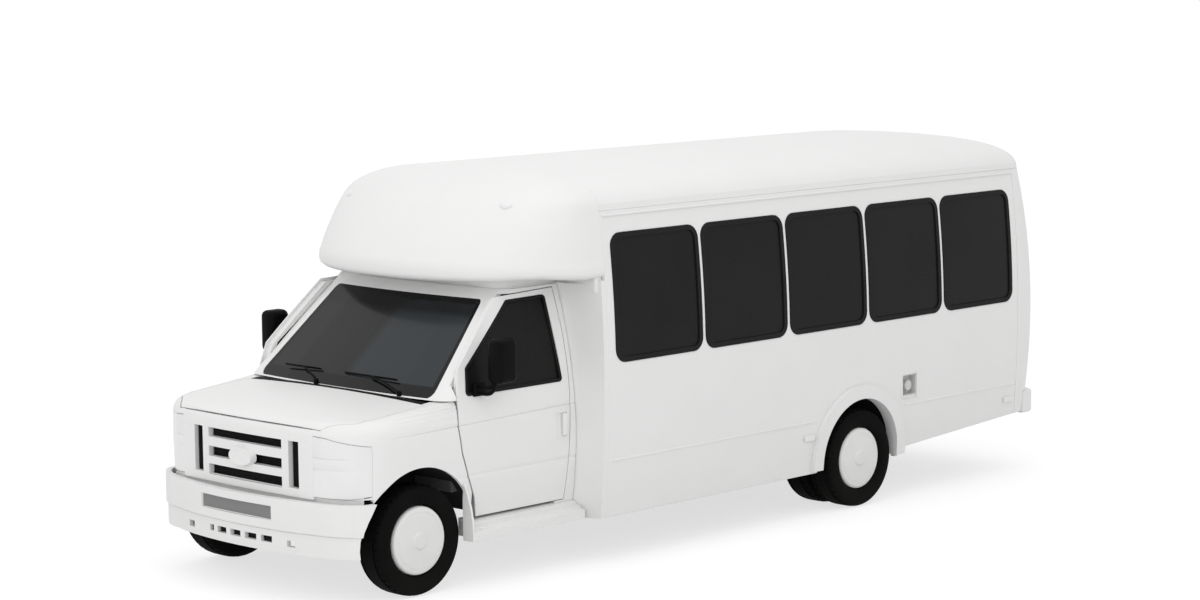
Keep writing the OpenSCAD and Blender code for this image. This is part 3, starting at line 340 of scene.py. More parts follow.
def ramp(tree, value, low, high):
    # 0 to 1 between two values, either way round
    node = place(tree, "ShaderNodeMapRange")
    node.inputs["From Min"].default_value, node.inputs["From Max"].default_value = low, high
    tree.links.new(value, node.inputs["Value"])
    return node.outputs[0]


def makeFineGrain():
    # small surface texture with a slow mottling under it
    group, entry, out = newGroup("fineGrain", {"Scale": 200.0, "Mottle": 3.0}, ["Grain", "Mottling"])
    coords = place(group, "ShaderNodeTexCoord")
    fine = place(group, "ShaderNodeTexNoise")
    slow = place(group, "ShaderNodeTexNoise")
    fine.inputs["Detail"].default_value = 3
    slow.inputs["Detail"].default_value = 4
    for noise, scale in ((fine, "Scale"), (slow, "Mottle")):
        group.links.new(coords.outputs["Object"], noise.inputs["Vector"])
        group.links.new(entry.outputs[scale], noise.inputs["Scale"])
    group.links.new(fine.outputs["Fac"], out.inputs["Grain"])
    group.links.new(slow.outputs["Fac"], out.inputs["Mottling"])
    return group


def makeRoadDust():
    # thicker towards the road, broken up by noise
    group, entry, out = newGroup("roadDust", {"Top": 0.9, "Amount": 0.2, "Scale": 9.0}, ["Dust"])
    coords = place(group, "ShaderNodeTexCoord")
    split = place(group, "ShaderNodeSeparateXYZ")
    noise = place(group, "ShaderNodeTexNoise")
    noise.inputs["Detail"].default_value = 5
    group.links.new(coords.outputs["Object"], split.inputs[0])
    group.links.new(coords.outputs["Object"], noise.inputs["Vector"])
    group.links.new(entry.outputs["Scale"], noise.inputs["Scale"])
    below = mathNode(group, "SUBTRACT", entry.outputs["Top"], split.outputs["Z"])
    depth = mathNode(group, "DIVIDE", below, entry.outputs["Top"], True)
    broken = mathNode(group, "MULTIPLY", depth, noise.outputs["Fac"])
    group.links.new(mathNode(group, "MULTIPLY", broken, entry.outputs["Amount"], True), out.inputs["Dust"])
    return group


def makeWornEdges():
    # picks out the sharpest edges, in patches
    group, entry, out = newGroup("wornEdges", {"Amount": 0.4, "Scale": 30.0}, ["Wear"])
    geometry = place(group, "ShaderNodeNewGeometry")
    coords = place(group, "ShaderNodeTexCoord")
    noise = place(group, "ShaderNodeTexNoise")
    group.links.new(coords.outputs["Object"], noise.inputs["Vector"])
    group.links.new(entry.outputs["Scale"], noise.inputs["Scale"])
    edges = ramp(group, geometry.outputs["Pointiness"], 0.53, 0.62)
    patchy = mathNode(group, "MULTIPLY", edges, noise.outputs["Fac"])
    group.links.new(mathNode(group, "MULTIPLY", patchy, entry.outputs["Amount"], True), out.inputs["Wear"])
    return group


def makeRibs():
    # straight raised ribs along the bus, or crossed threads when Cross is up
    group, entry, out = newGroup("ribs", {"Pitch": 60.0, "Cross": 0.0}, ["Height"])
    coords = place(group, "ShaderNodeTexCoord")
    bands = []
    for direction in ("X", "Y"):
        wave = place(group, "ShaderNodeTexWave", wave_type="BANDS", bands_direction=direction, wave_profile="SIN")
        group.links.new(coords.outputs["Object"], wave.inputs["Vector"])
        group.links.new(entry.outputs["Pitch"], wave.inputs["Scale"])
        bands.append(wave.outputs["Fac"])
    crossed = mathNode(group, "MULTIPLY", bands[1], entry.outputs["Cross"])
    group.links.new(mathNode(group, "MAXIMUM", bands[0], crossed), out.inputs["Height"])
    return group


fineGrain, roadDust, wornEdges, ribs = makeFineGrain(), makeRoadDust(), makeWornEdges(), makeRibs()
dustColour = (0.34, 0.31, 0.27, 1)
ribShare = 0.3


def useGroup(tree, group, **values):
    node = place(tree, "ShaderNodeGroup", node_tree=group)
    for key, value in values.items():
        node.inputs[key].default_value = value
    return node


def blendColour(tree, mask, a, b):
    mix = place(tree, "ShaderNodeMix", data_type="RGBA")
    tree.links.new(mask, mix.inputs[0])
    for socket, value in ((mix.inputs[6], a), (mix.inputs[7], b)):
        if isinstance(value, tuple):
            socket.default_value = value
        else:
            tree.links.new(value, socket)
    return mix.outputs[2]


def finish(name, look):
    # one finish from a dictionary: base and tint mottle together, then dust and wear go on top
    material = bpy.data.materials.new(name)
    material.use_nodes = True
    tree = material.node_tree
    shader = tree.nodes["Principled BSDF"]
    for label, value in look.get("fixed", {}).items():
        shader.inputs[label].default_value = value
    grain = useGroup(tree, fineGrain, Scale=look.get("grain", 300.0), Mottle=look.get("mottle", 3.0))
    spread = ramp(tree, grain.outputs["Mottling"], 0.3, 0.7)
    colour = blendColour(tree, spread, look["base"], look["tint"])
    if look.get("dust"):
        dust = useGroup(tree, roadDust, Top=look.get("dustTop", 0.8), Amount=look["dust"])
        colour = blendColour(tree, dust.outputs["Dust"], colour, dustColour)
    if look.get("wear"):
        worn = useGroup(tree, wornEdges, Amount=look["wear"])
        colour = blendColour(tree, worn.outputs["Wear"], colour, look["wearColour"])
    tree.links.new(colour, shader.inputs["Base Color"])
    rough = place(tree, "ShaderNodeMapRange")
    rough.inputs["To Min"].default_value, rough.inputs["To Max"].default_value = look["rough"]
    tree.links.new(grain.outputs["Mottling"], rough.inputs["Value"])
    tree.links.new(rough.outputs[0], shader.inputs["Roughness"])
    height = grain.outputs["Grain"]
    if look.get("ribs"):
        pattern = useGroup(tree, ribs, Pitch=look["ribs"], Cross=look.get("cross", 0.0))
        height = mathNode(tree, "ADD", mathNode(tree, "MULTIPLY", height, ribShare), pattern.outputs["Height"])
    bump = place(tree, "ShaderNodeBump")
    bump.inputs["Strength"].default_value = look.get("bump", 0.1)
    bump.inputs["Distance"].default_value = look.get("deep", 0.0005)
    tree.links.new(height, bump.inputs["Height"])
    tree.links.new(bump.outputs[0], shader.inputs["Normal"])
    return material


looks = {
    "body_white": {"base": (0.79, 0.79, 0.785, 1), "tint": (0.805, 0.805, 0.80, 1), "rough": (0.42, 0.52), "grain": 420.0,
                   "bump": 0.12, "deep": 0.0003, "dust": 0.10, "dustTop": 0.75, "fixed": {"Specular IOR Level": 0.35}},
    "wheel_white": {"base": (0.76, 0.76, 0.75, 1), "tint": (0.79, 0.79, 0.78, 1), "rough": (0.45, 0.6), "grain": 500.0,
                    "bump": 0.15, "deep": 0.0003, "dust": 0.25, "dustTop": 0.7, "fixed": {"Specular IOR Level": 0.3}},
    "lamp_lens": {"base": (0.77, 0.77, 0.775, 1), "tint": (0.80, 0.80, 0.80, 1), "rough": (0.28, 0.4), "grain": 260.0,
                  "bump": 0.06, "deep": 0.0003, "dust": 0.06, "fixed": {"Coat Weight": 0.25, "Coat Roughness": 0.15}},
    "trim_pale": {"base": (0.58, 0.58, 0.575, 1), "tint": (0.64, 0.64, 0.63, 1), "rough": (0.5, 0.62), "grain": 600.0,
                  "bump": 0.2, "dust": 0.15, "fixed": {"Specular IOR Level": 0.4}},
    "trim_black": {"base": (0.003, 0.003, 0.003, 1), "tint": (0.005, 0.005, 0.005, 1), "rough": (0.4, 0.58), "grain": 700.0,
                   "bump": 0.3, "wear": 0.2, "wearColour": (0.015, 0.015, 0.015, 1), "fixed": {"Specular IOR Level": 0.05}},
    "frame_rubber": {"base": (0.007, 0.007, 0.007, 1), "tint": (0.012, 0.012, 0.012, 1), "rough": (0.55, 0.72), "grain": 500.0,
                     "bump": 0.25, "fixed": {"Specular IOR Level": 0.15}},
    "dark_glass": {"base": (0.009, 0.009, 0.009, 1), "tint": (0.012, 0.012, 0.0115, 1), "rough": (0.22, 0.34), "grain": 60.0,
                   "mottle": 1.5, "bump": 0.02, "fixed": {"Specular IOR Level": 0.09}},
    "tyre_rubber": {"base": (0.003, 0.003, 0.003, 1), "tint": (0.0065, 0.0063, 0.006, 1), "rough": (0.72, 0.88), "grain": 260.0,
                    "bump": 0.35, "deep": 0.0008, "dust": 0.02, "dustTop": 0.3, "fixed": {"Specular IOR Level": 0.05}},
    "chassis_black": {"base": (0.02, 0.02, 0.021, 1), "tint": (0.035, 0.033, 0.03, 1), "rough": (0.5, 0.75), "grain": 180.0,
                      "bump": 0.4, "deep": 0.001, "dust": 0.6, "dustTop": 1.2, "wear": 0.5, "wearColour": (0.16, 0.1, 0.06, 1)},
    "exhaust_steel": {"base": (0.30, 0.28, 0.26, 1), "tint": (0.42, 0.38, 0.33, 1), "rough": (0.35, 0.6), "grain": 150.0,
                      "bump": 0.3, "dust": 0.5, "dustTop": 1.2, "fixed": {"Metallic": 0.9}},
    "floor_dark": {"base": (0.05, 0.052, 0.055, 1), "tint": (0.075, 0.076, 0.08, 1), "rough": (0.6, 0.78), "grain": 350.0,
                   "bump": 0.5, "deep": 0.0015, "ribs": 12.0, "dust": 0.2, "dustTop": 1.4},
    "seat_fabric": {"base": (0.055, 0.06, 0.07, 1), "tint": (0.085, 0.09, 0.105, 1), "rough": (0.82, 0.95), "grain": 120.0,
                    "mottle": 6.0, "bump": 0.45, "deep": 0.0012, "ribs": 90.0, "cross": 1.0,
                    "fixed": {"Sheen Weight": 0.35, "Sheen Roughness": 0.5}},
}
finishes = {name: finish(name.title().replace("_", ""), look) for name, look in looks.items()}
variants = {
    "screen": ("ScreenGlass", "dark_glass", {"base": (0.012, 0.012, 0.0115, 1), "tint": (0.015, 0.0153, 0.0155, 1),
                                             "mottle": 0.7, "rough": (0.1, 0.18), "fixed": {"Specular IOR Level": 0.2}}),
    "lining": ("ArchLining", "frame_rubber", {"rough": (0.8, 0.95), "grain": 150.0, "bump": 0.5}),
    # the plate's dark grey is painted shade of the bumper's recess
    "plate": ("PlateWithPaintedShade", "trim_pale", {"base": (0.19, 0.19, 0.19, 1), "tint": (0.22, 0.22, 0.22, 1)}),
    "silver": ("MirrorSilver", None, {"base": (0.62, 0.64, 0.66, 1), "tint": (0.7, 0.71, 0.72, 1), "rough": (0.04, 0.07),
                                      "bump": 0.01, "fixed": {"Metallic": 1.0}}),
    "steel": ("BrushedSteel", None, {"base": (0.5, 0.5, 0.49, 1), "tint": (0.6, 0.6, 0.59, 1), "rough": (0.25, 0.4),
                                     "grain": 900.0, "bump": 0.15, "fixed": {"Metallic": 1.0}}),
}
for key, (name, basis, changes) in variants.items():
    finishes[key] = finish(name, {**looks.get(basis, {}), **changes})
print("finishes made:", len(finishes))


# the windscreen's own shading, where the paler half is a painted reflection
screen = {"border": 0.03, "foot": 0.06, "lean": 0.22, "soft": 0.006, "band": (0.12, 0.09), "bandShare": 0.6,
          "paintedReflectionX": (-0.2, -0.1), "paintedReflectionLean": -0.12, "paintedReflectionColour": (0.026, 0.031, 0.035, 1), "dark": (0.003, 0.003, 0.003, 1)}


def shadeScreen(material, node):
    # black border all round, a dark band at the top, and a slightly paler, cooler half on the driver's side that is a
    # painted reflection
    tree = material.node_tree
    shader = tree.nodes["Principled BSDF"]
    low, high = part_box(node)
    coords = place(tree, "ShaderNodeTexCoord")
    split = place(tree, "ShaderNodeSeparateXYZ")
    tree.links.new(coords.outputs["Object"], split.inputs[0])
    across, up = split.outputs["X"], split.outputs["Z"]
    slant = mathNode(tree, "MULTIPLY", mathNode(tree, "SUBTRACT", up, low.z), screen["lean"])
    outward = mathNode(tree, "ADD", mathNode(tree, "ABSOLUTE", across, 0.0), slant)
    sides = ramp(tree, outward, high.x - screen["border"] - screen["soft"], high.x - screen["border"])
    top = ramp(tree, up, high.z - screen["border"] - screen["soft"], high.z - screen["border"])
    foot = ramp(tree, up, low.z + screen["foot"] + screen["soft"], low.z + screen["foot"])
    edge = mathNode(tree, "MAXIMUM", sides, mathNode(tree, "MAXIMUM", top, foot))
    band = mathNode(tree, "MULTIPLY", ramp(tree, up, *(high.z - drop for drop in screen["band"])), screen["bandShare"])
    # the paler, cooler half is a painted reflection laid into the glass's colour
    half = ramp(tree, mathNode(tree, "ADD", across, mathNode(tree, "MULTIPLY", up, screen["paintedReflectionLean"])), *screen["paintedReflectionX"])
    colour = shader.inputs["Base Color"].links[0].from_socket
    for mask, over in ((half, "paintedReflectionColour"), (band, "dark"), (edge, "dark")):
        colour = blendColour(tree, mask, colour, screen[over])
    tree.links.new(colour, shader.inputs["Base Color"])


shadeScreen(finishes["screen"], "windscreen")

# body panels: copies of the CAD shells, merged, with crease lines pressed in and soft edges
panels = {
    "cab_shell": 0.004, "front_fenders": 0.006, "grille": 0.004, "front_bumper": 0.004, "cab_steps": 0.004,
    "front_cap": 0.006, "coach_front_wall": 0.006, "left_side_wall": 0.004, "right_side_wall": 0.004, "rear_wall": 0.005,
    "roof": 0.004, "arch_flares": 0.012, "rear_bumper": 0.012, "hood": 0.004, "driver_door": 0.003, "passenger_door": 0.003,
    "entry_front_leaf": 0.003, "entry_rear_leaf": 0.003, "rear_door": 0.004, "headlamps": 0.007, "lamps": 0.005,
    "fuel_filler": 0.002, "window_frames": 0.004, "cowl_panel": 0.002,
    "windscreen": 0.001, "window_glass": 0.001, "driver_door_glass": 0.001, "passenger_door_glass": 0.001,
}
weldGap = 0.00002
# width and depth of each kind of pressed line
fineLine = {"width": 0.010, "depth": 0.007}
lampLine = {"width": 0.018, "depth": 0.005}
rockerLine = {"width": 0.024, "depth": 0.005}
creases = {"beltZ": 1.027, "beltSlope": 0.024, "rockerZ": 0.706, "lampLines": (0.915, 0.842), "bumperZ": 0.44}
chin = {"lift": 0.042, "top": 2.02, "backY": axleY + 1.35, "run": 0.35}
taper = {"fromX": 0.5, "toX": 0.9, "fromY": axleY - 0.42, "run": 0.36, "shutGap": (0.018, 0.022),
         "inwards": {"front_bumper": 0.10, "headlamps": 0.07, "front_fenders": 0.07, "hood": 0.07}}
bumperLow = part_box("front_bumper")[0]


def panelCopy(node):
    obj = linkMesh(node + "Panel", mesh=nodes[node].data.copy())
    editAll(obj)
    bpy.ops.mesh.remove_doubles(threshold=weldGap)
    bpy.ops.mesh.dissolve_limited(angle_limit=math.radians(0.6))
    objectMode()
    return obj


def pressLine(obj, z, inward, test, width, depth, slope=0.0):
    # a shallow line round the outer skin: three cuts, and the middle one moves in
    normal = Vector((0, -slope, 1)).normalized()
    for offset in (-width / 2, width / 2, 0):
        editAll(obj)
        bpy.ops.mesh.bisect(plane_co=(0, axleY, z + offset), plane_no=normal)
    objectMode()
    for point in obj.data.vertices:
        if point.select and test(point.co):
            point.co += Vector(inward) * depth


def pressCabSides(obj):
    # the belt line and the rocker line, from the fender back
    for side in (1, -1):
        outer = abs(skinX("cab_shell", axleY + 1.345, creases["beltZ"], side))
        pressLine(obj, creases["beltZ"], (-side, 0, 0), lambda p: p.x * side > outer - 0.008 and p.y > axleY - 0.22,
                  **fineLine, slope=creases["beltSlope"])
        pressLine(obj, creases["rockerZ"], (-side, 0, 0), lambda p: p.x * side > outer - 0.02 and p.y > axleY + 0.36,
                  **rockerLine)


def liftChin(obj, low):
    # the cap's chin sits a little higher, over a neck
    for point in obj.data.vertices:
        share = clamp01((chin["top"] - point.co.z) / (chin["top"] - low.z))
        fade = clamp01((chin["backY"] - point.co.y) / chin["run"])
        point.co.z += chin["lift"] * share * (2 - share) * fade


def taperNose(obj, inwards):
    # the nose draws in towards the front, outboard of the grille
    for point in obj.data.vertices:
        across = clamp01((abs(point.co.x) - taper["fromX"]) / (taper["toX"] - taper["fromX"]))
        along = clamp01((taper["fromY"] - point.co.y) / taper["run"])
        shift = inwards * across * across * (3 - 2 * across) * along * (2 - along)
        point.co.x -= math.copysign(shift, point.co.x)


def drawInLamps(obj, low, high):
    # a shut line all round each lamp
    middleX, middleZ = (high.x + taper["fromX"]) / 2, (low.z + high.z) / 2
    acrossGap, upGap = taper["shutGap"]
    for point in obj.data.vertices:
        point.co.x -= math.copysign(1, point.co.x) * (abs(point.co.x) - middleX) * acrossGap
        point.co.z -= (point.co.z - middleZ) * upGap


made = {}
for node, width in panels.items():
    obj = panelCopy(node)
    low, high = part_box(node)
    if node in ("driver_door", "passenger_door", "front_fenders", "cab_shell"):
        pressCabSides(obj)
    if node == "front_bumper":
        pressLine(obj, creases["bumperZ"], (0, 1, 0), lambda p: p.y < bumperLow.y + 0.2, **fineLine)
    if node == "front_cap":
        liftChin(obj, low)
    if node in taper["inwards"]:
        taperNose(obj, taper["inwards"][node])
    if node == "headlamps":
        drawInLamps(obj, low, high)
        for z in creases["lampLines"]:
            pressLine(obj, z, (0, 1, 0), lambda p: p.y < axleY - 0.38 and abs(p.x) < 0.86, **lampLine)
    softEdges(obj, width)
    look = finishes["screen" if node == "windscreen" else slotOf[node]]
    made[node] = finishPiece(obj, bodyOf[node], look, slotOf[node], [node])
print("body panels copied:", len(made))

# everything under the body keeps its CAD mesh, with its edges eased
for node, obj in nodes.items():
    if node in panels:
        continue
    obj.data.materials.clear()
    obj.data.materials.append(finishes[slotOf[node]])
    addModifier(obj, "WELD", merge_threshold=weldGap)
    addModifier(obj, "BEVEL", width=0.002, segments=1, limit_method="ANGLE", angle_limit=math.radians(40))
print("chassis finished")

# tyres: a ring shaped to a road tyre's section, with its tread cut in
tyre = {"around": 120, "section": 32, "squareness": 0.42, "grooves": (-0.055, 0.0, 0.055), "grooveHalf": 0.007,
        "grooveDepth": 0.009, "lugDepth": 0.006, "beadR": 0.2165}


def makeTyre(name, centreX, width):
    clearSelection()
    middle, half = (wheelR + tyre["beadR"]) / 2, (wheelR - tyre["beadR"]) / 2
    bpy.ops.mesh.primitive_torus_add(major_segments=tyre["around"], minor_segments=tyre["section"], major_radius=middle,
                                     minor_radius=half, rotation=(0, math.pi / 2, 0))
    obj = bpy.context.object
    obj.name = name
    settle(obj)
    for point in obj.data.vertices:
        r = math.hypot(point.co.y, point.co.z)
        u, v = (r - middle) / half, point.co.x / half
        power = tyre["squareness"]
        u2 = math.copysign(abs(u) ** power, u)
        v2 = math.copysign(abs(v) ** power, v)
        # the bead end stays narrower than the tread
        narrow = 1 - 0.10 * max(0, -u) - 0.03 * max(0, u) ** 4
        scale = (middle + half * u2) / r
        point.co = (v2 * width / 2 * narrow, point.co.y * scale, point.co.z * scale)
    tread = lambda c: math.hypot(c.y, c.z) > wheelR - 0.02
    for groove in tyre["grooves"]:
        insetFaces(obj, lambda c, n: tread(c) and abs(c.x - groove) < tyre["grooveHalf"], (0.001, -tyre["grooveDepth"]))
    # shallow lugs round each shoulder
    pick(obj, lambda c, n: tread(c) and 0.06 < abs(c.x) < width / 2 - 0.012
         and int((math.atan2(c.z, c.y) + math.pi) / (2 * math.pi) * tyre["around"] + 0.01) % 3 == 0)
    bpy.ops.mesh.inset(thickness=0.0012, depth=-tyre["lugDepth"])
    objectMode()
    obj.data.transform(Matrix.Translation((centreX, 0, wheelR)))
    return obj


def placeTyres():
    for word in ("left", "right"):
        low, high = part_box(f"front_{word}_tyre")
        wide = high.x - low.x
        one = makeTyre(f"front{word.title()}RoadTyre", (low.x + high.x) / 2, wide)
        one.data.transform(Matrix.Translation((0, axleY, 0)))
        finishPiece(one, f"front_{word}_wheel", finishes["tyre_rubber"], "tyre_rubber", [f"front_{word}_tyre"], 40)
        low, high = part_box(f"rear_{word}_tyres")
        pair = [makeTyre("twin", x, wide) for x in (low.x + wide / 2, high.x - wide / 2)]
        both = join(f"rear{word.title()}RoadTyres", pair)
        both.data.transform(Matrix.Translation((0, axleY + rearAxle, 0)))
        finishPiece(both, f"rear_{word}_wheels", finishes["tyre_rubber"], "tyre_rubber", [f"rear_{word}_tyres"], 40)


placeTyres()
print("tyres made")

# wheel covers and hub bosses, turned on the wheels' own axes
wheelCover = {"steps": 72, "thick": 0.006,
              "face": ((0.0, 0.0), (0.046, 0.0), (0.054, -0.006), (0.060, -0.010), (0.176, -0.010), (0.180, -0.013),
                       (0.184, -0.010), (0.204, -0.012), (0.212, -0.018), (0.2165, -0.030))}


def makeCover(name, outerX, y, side, body):
    # half of the section, spun round the wheel's axis
    face = wheelCover["face"]
    obj = linkMesh(name, [(outerX + side * x, y, wheelR + r) for r, x in face], [(i, i + 1) for i in range(len(face) - 1)])
    editAll(obj)
    bpy.ops.mesh.spin(steps=wheelCover["steps"], angle=2 * math.pi, center=(outerX, y, wheelR), axis=(1, 0, 0))
    bpy.ops.mesh.select_all(action="SELECT")
    bpy.ops.mesh.remove_doubles(threshold=0.0001)
    bpy.ops.mesh.normals_make_consistent(inside=False)
    objectMode()
    if sum(f.normal.x * side for f in obj.data.polygons) < 0:
        obj.data.flip_normals()
    thicken(obj, wheelCover["thick"])
    finishPiece(obj, body, finishes["wheel_white"], "wheel_white", (), 26)


for side, word in ((1, "left"), (-1, "right")):
    for end, y, rim, body in (("front", axleY, f"front_{word}_rim", f"front_{word}_wheel"),
                              ("rear", axleY + rearAxle, f"rear_{word}_rims", f"rear_{word}_wheels")):
        outerX = side * (max(abs(corner.x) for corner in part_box(rim)) + 0.001)
        makeCover(f"{end}{word.title()}Cover", outerX, y, side, body)

# black linings inside the four wheel arches
lining = {"frontR": 0.468, "rearR": 0.476, "thick": 0.004, "segments": 64, "frontInX": 0.565}


def makeLining(name, x0, x1, y, z, radius, lowest):
    obj = drum(name, ((x0 + x1) / 2, y, z), radius, x1 - x0, "X", lining["segments"], 0)
    deleteFaces(obj, lambda c, n: n.x * (1 if x1 > 0 else -1) > 0.9)
    editAll(obj)
    bpy.ops.mesh.bisect(plane_co=(0, 0, lowest), plane_no=(0, 0, 1), clear_inner=True)
    objectMode()
    obj.data.flip_normals()
    thicken(obj, lining["thick"])
    finishPiece(obj, "root", finishes["lining"], "chassis_black")


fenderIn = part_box("front_fenders")[1].x - 0.045
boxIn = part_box("rear_left_tyres")[0].x - 0.03
for side, word in ((1, "Left"), (-1, "Right")):
    ends = sorted((side * lining["frontInX"], side * fenderIn))
    makeLining(f"front{word}Lining", *ends, axleY, wheelR, lining["frontR"], wheelR + 0.12)
    ends = sorted((side * boxIn, side * (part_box("left_side_wall")[1].x - 0.075)))
    makeLining(f"rear{word}Lining", *ends, axleY + rearAxle, wheelR + 0.02, lining["rearR"], wheelR + 0.03)
print("wheel covers and arch linings made")

# nose: radiator behind the grille, blank plate whose grey is painted shade of its recess, backing in the bumper's
# slots, blank oval, closing strip
radiator = {"behind": 0.085, "thick": 0.03, "halfWide": 0.56, "z": (0.668, 1.035), "fins": 26, "finZ": (0.69, 1.01),
            "finHalfWide": 0.53, "finHalf": 0.002}
plate = {"halfWide": 0.338, "z": (0.504, 0.586), "behind": (0.026, 0.034)}
slots = {"halfWide": 0.345, "z": (0.347, 0.403), "behind": (0.05, 0.058), "bars": (0.36, 0.375, 0.39), "barHalf": 0.002}
oval = {"radius": 0.1, "flat": 0.54, "thick": 0.05, "z": 0.855, "behind": 0.024, "rim": 0.009}
closing = {"halfWide": 0.93, "steps": 32, "seekZ": 0.72, "behind": 0.022, "z": (0.56, 0.70), "thick": 0.004}
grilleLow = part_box("grille")[0]


def makeRadiator():
    front = grilleLow.y + radiator["behind"]
    wide, (z0, z1) = radiator["halfWide"], radiator["z"]
    parts = [block("core", (-wide, front, z0), (wide, front + radiator["thick"], z1), 0.004)]
    wide, half = radiator["finHalfWide"], radiator["finHalf"]
    for i in range(radiator["fins"]):
        z = between(*radiator["finZ"], i / (radiator["fins"] - 1))
        parts.append(block("fin", (-wide, front - 0.006, z - half), (wide, front + 0.001, z + half), 0.0008, 1))
    finishPiece(join("radiatorCore", parts), "root", finishes["lining"], "chassis_black")


def makeBumperDetail():
    front = bumperLow.y
    wide, (y0, y1), (z0, z1) = plate["halfWide"], plate["behind"], plate["z"]
    # the plate is coloured dark grey to paint the recess's shade
    blank = block("plate", (-wide, front + y0, z0), (wide, front + y1, z1), 0.003)
    insetFaces(blank, lambda c, n: n.y < -0.9, (0.006, -0.0015))
    finishPiece(blank, "root", finishes["plate"], "trim_pale")
    wide, (y0, y1), (z0, z1), half = slots["halfWide"], slots["behind"], slots["z"], slots["barHalf"]
    parts = [block("backing", (-wide, front + y0, z0), (wide, front + y1, z1), 0.002)]
    for z in slots["bars"]:
        parts.append(block("bar", (-wide + 0.005, front + y0 - 0.006, z - half), (wide - 0.005, front + y0 + 0.001, z + half),
                           0.0008, 1))
    finishPiece(join("bumperMesh", parts), "root", finishes["lining"], "chassis_black")


def makeEmblemBlank():
    # plain oval boss on the middle bar, with a raised rim
    boss = drum("grilleOval", (0, 0, 0), oval["radius"], oval["thick"], "Z", 48, 0)
    boss.scale = (1, oval["flat"], 1)
    settle(boss)
    boss.data.transform(Matrix.Rotation(math.pi / 2, 4, "X"))
    boss.data.transform(Matrix.Translation((0, grilleLow.y + oval["behind"], oval["z"])))
    insetFaces(boss, lambda c, n: n.y < -0.9, (oval["rim"], 0), (0.003, -0.004))
    softEdges(boss, 0.002)
    applyAll(boss)
    finishPiece(boss, "root", finishes["body_white"], "body_white")


def makeNoseClosing():
    # a skirt of body colour behind the gap over the bumper
    points = []
    for i in range(closing["steps"] + 1):
        x = between(-closing["halfWide"], closing["halfWide"], i / closing["steps"])
        for node in ("grille", "headlamps", "front_fenders"):
            spot = touch(node, (x, -9, closing["seekZ"]), (0, 1, 0))[0]
            if spot:
                points += [(x, spot.y + closing["behind"], z) for z in closing["z"]]
                break
    faces = [(i, i + 2, i + 3, i + 1) for i in range(0, len(points) - 2, 2)]
    obj = linkMesh("noseClosing", points, (), faces)
    taperNose(obj, taper["inwards"]["hood"])
    thicken(obj, closing["thick"])
    finishPiece(obj, "root", finishes["body_white"], "body_white")


makeRadiator()
makeNoseClosing()
makeBumperDetail()
makeEmblemBlank()
print("nose detail made")

# skirt beads, roof gutters, fuel bezel and cap lamps on the coach
coach = {"beadZ": 0.679, "beadHalf": 0.007, "beadProud": 0.005,
         "gutterDrop": 0.028, "gutterHalf": 0.008, "gutterProud": 0.011}
bezel = {"edge": 0.014, "round": 0.022, "wide": 0.016, "sunk": 0.012, "proud": 0.005}
wallLow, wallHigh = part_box("left_side_wall")


def wallStrip(name, y0, y1, z, half, proud, side):
    # a rounded strip along a side wall
    node = "left_side_wall" if side > 0 else "right_side_wall"
    x = abs(skinX(node, y1 - 0.05, z, side))
    ends = sorted((side * (x - 0.004), side * (x + proud)))
    return block(name, (ends[0], y0, z - half), (ends[1], y1, z + half), min(half, proud) * 0.6, 3)


for side, word in ((1, "left"), (-1, "right")):
    z = coach["beadZ"]
    first = axleY + 1.51 if side > 0 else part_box("entry_rear_leaf")[1].y + 0.06
    strips = [wallStrip("bead", first, axleY + 3.56, z, coach["beadHalf"], coach["beadProud"], side),
              wallStrip("bead", axleY + 4.58, wallHigh.y - 0.01, z, coach["beadHalf"], coach["beadProud"], side)]
    finishPiece(join(word + "SkirtBead", strips), "root", finishes["body_white"], "body_white")
    gutter = wallStrip(word + "Gutter", wallLow.y + 0.02, wallHigh.y - 0.002, wallHigh.z - coach["gutterDrop"],
                       coach["gutterHalf"], coach["gutterProud"], side)
    finishPiece(gutter, "root", finishes["body_white"], "body_white")


def makeFuelBezel():
    low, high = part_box("fuel_filler")
    x = skinX("left_side_wall", low.y - 0.05, (low.z + high.z) / 2)
    edge = bezel["edge"]
    start = (x - bezel["sunk"], low.y - edge, low.z - edge)
    obj = block("fuelBezel", start, (x + bezel["proud"], high.y + edge, high.z + edge), 0)
    pick(obj, lambda c, d: abs(d.x) > 0.9, "EDGE")
    bpy.ops.mesh.bevel(offset=bezel["round"], segments=5, affect="EDGES")
    objectMode()
    insetFaces(obj, lambda c, n: abs(n.x) > 0.9, (bezel["wide"], 0))
    pick(obj, lambda c, n: abs(n.x) > 0.9 and abs(c.y - (low.y + high.y) / 2) < 0.02)
    bpy.ops.mesh.bridge_edge_loops()
    objectMode()
    softEdges(obj, 0.002)
    finishPiece(obj, "root", finishes["body_white"], "body_white")


capLamp = {"x": 0.76, "behind": 0.43, "radius": 0.045, "squash": (1, 0.62, 0.4)}
neck = {"halfWide": 0.80, "y": (axleY + 0.90, axleY + 1.47), "up": (-0.02, 0.12), "round": 0.12, "thick": 0.006,
        "sillX": (0.76, 1.15), "sillY": (axleY + 1.41, axleY + 1.473), "sillUp": (-0.05, 0.11), "sillRound": 0.02}


def makeCapLamps():
    # low oval clearance lamps seated on the cap
    lamps = []
    for side in (1, -1):
        start = (side * capLamp["x"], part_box("front_cap")[0].y + capLamp["behind"], 4)
        spot, normal = touch("front_cap", start, (0, 0, -1))
        clearSelection()
        bpy.ops.mesh.primitive_uv_sphere_add(segments=24, ring_count=12, radius=capLamp["radius"])
        lamp = bpy.context.object
        lamp.scale = capLamp["squash"]
        settle(lamp)
        lamp.data.transform(Matrix.Translation(spot) @ normal.to_track_quat("Z", "Y").to_matrix().to_4x4())
        lamps.append(lamp)
    finishPiece(join("capLamps", lamps), "root", finishes["lamp_lens"], "lamp_lens")


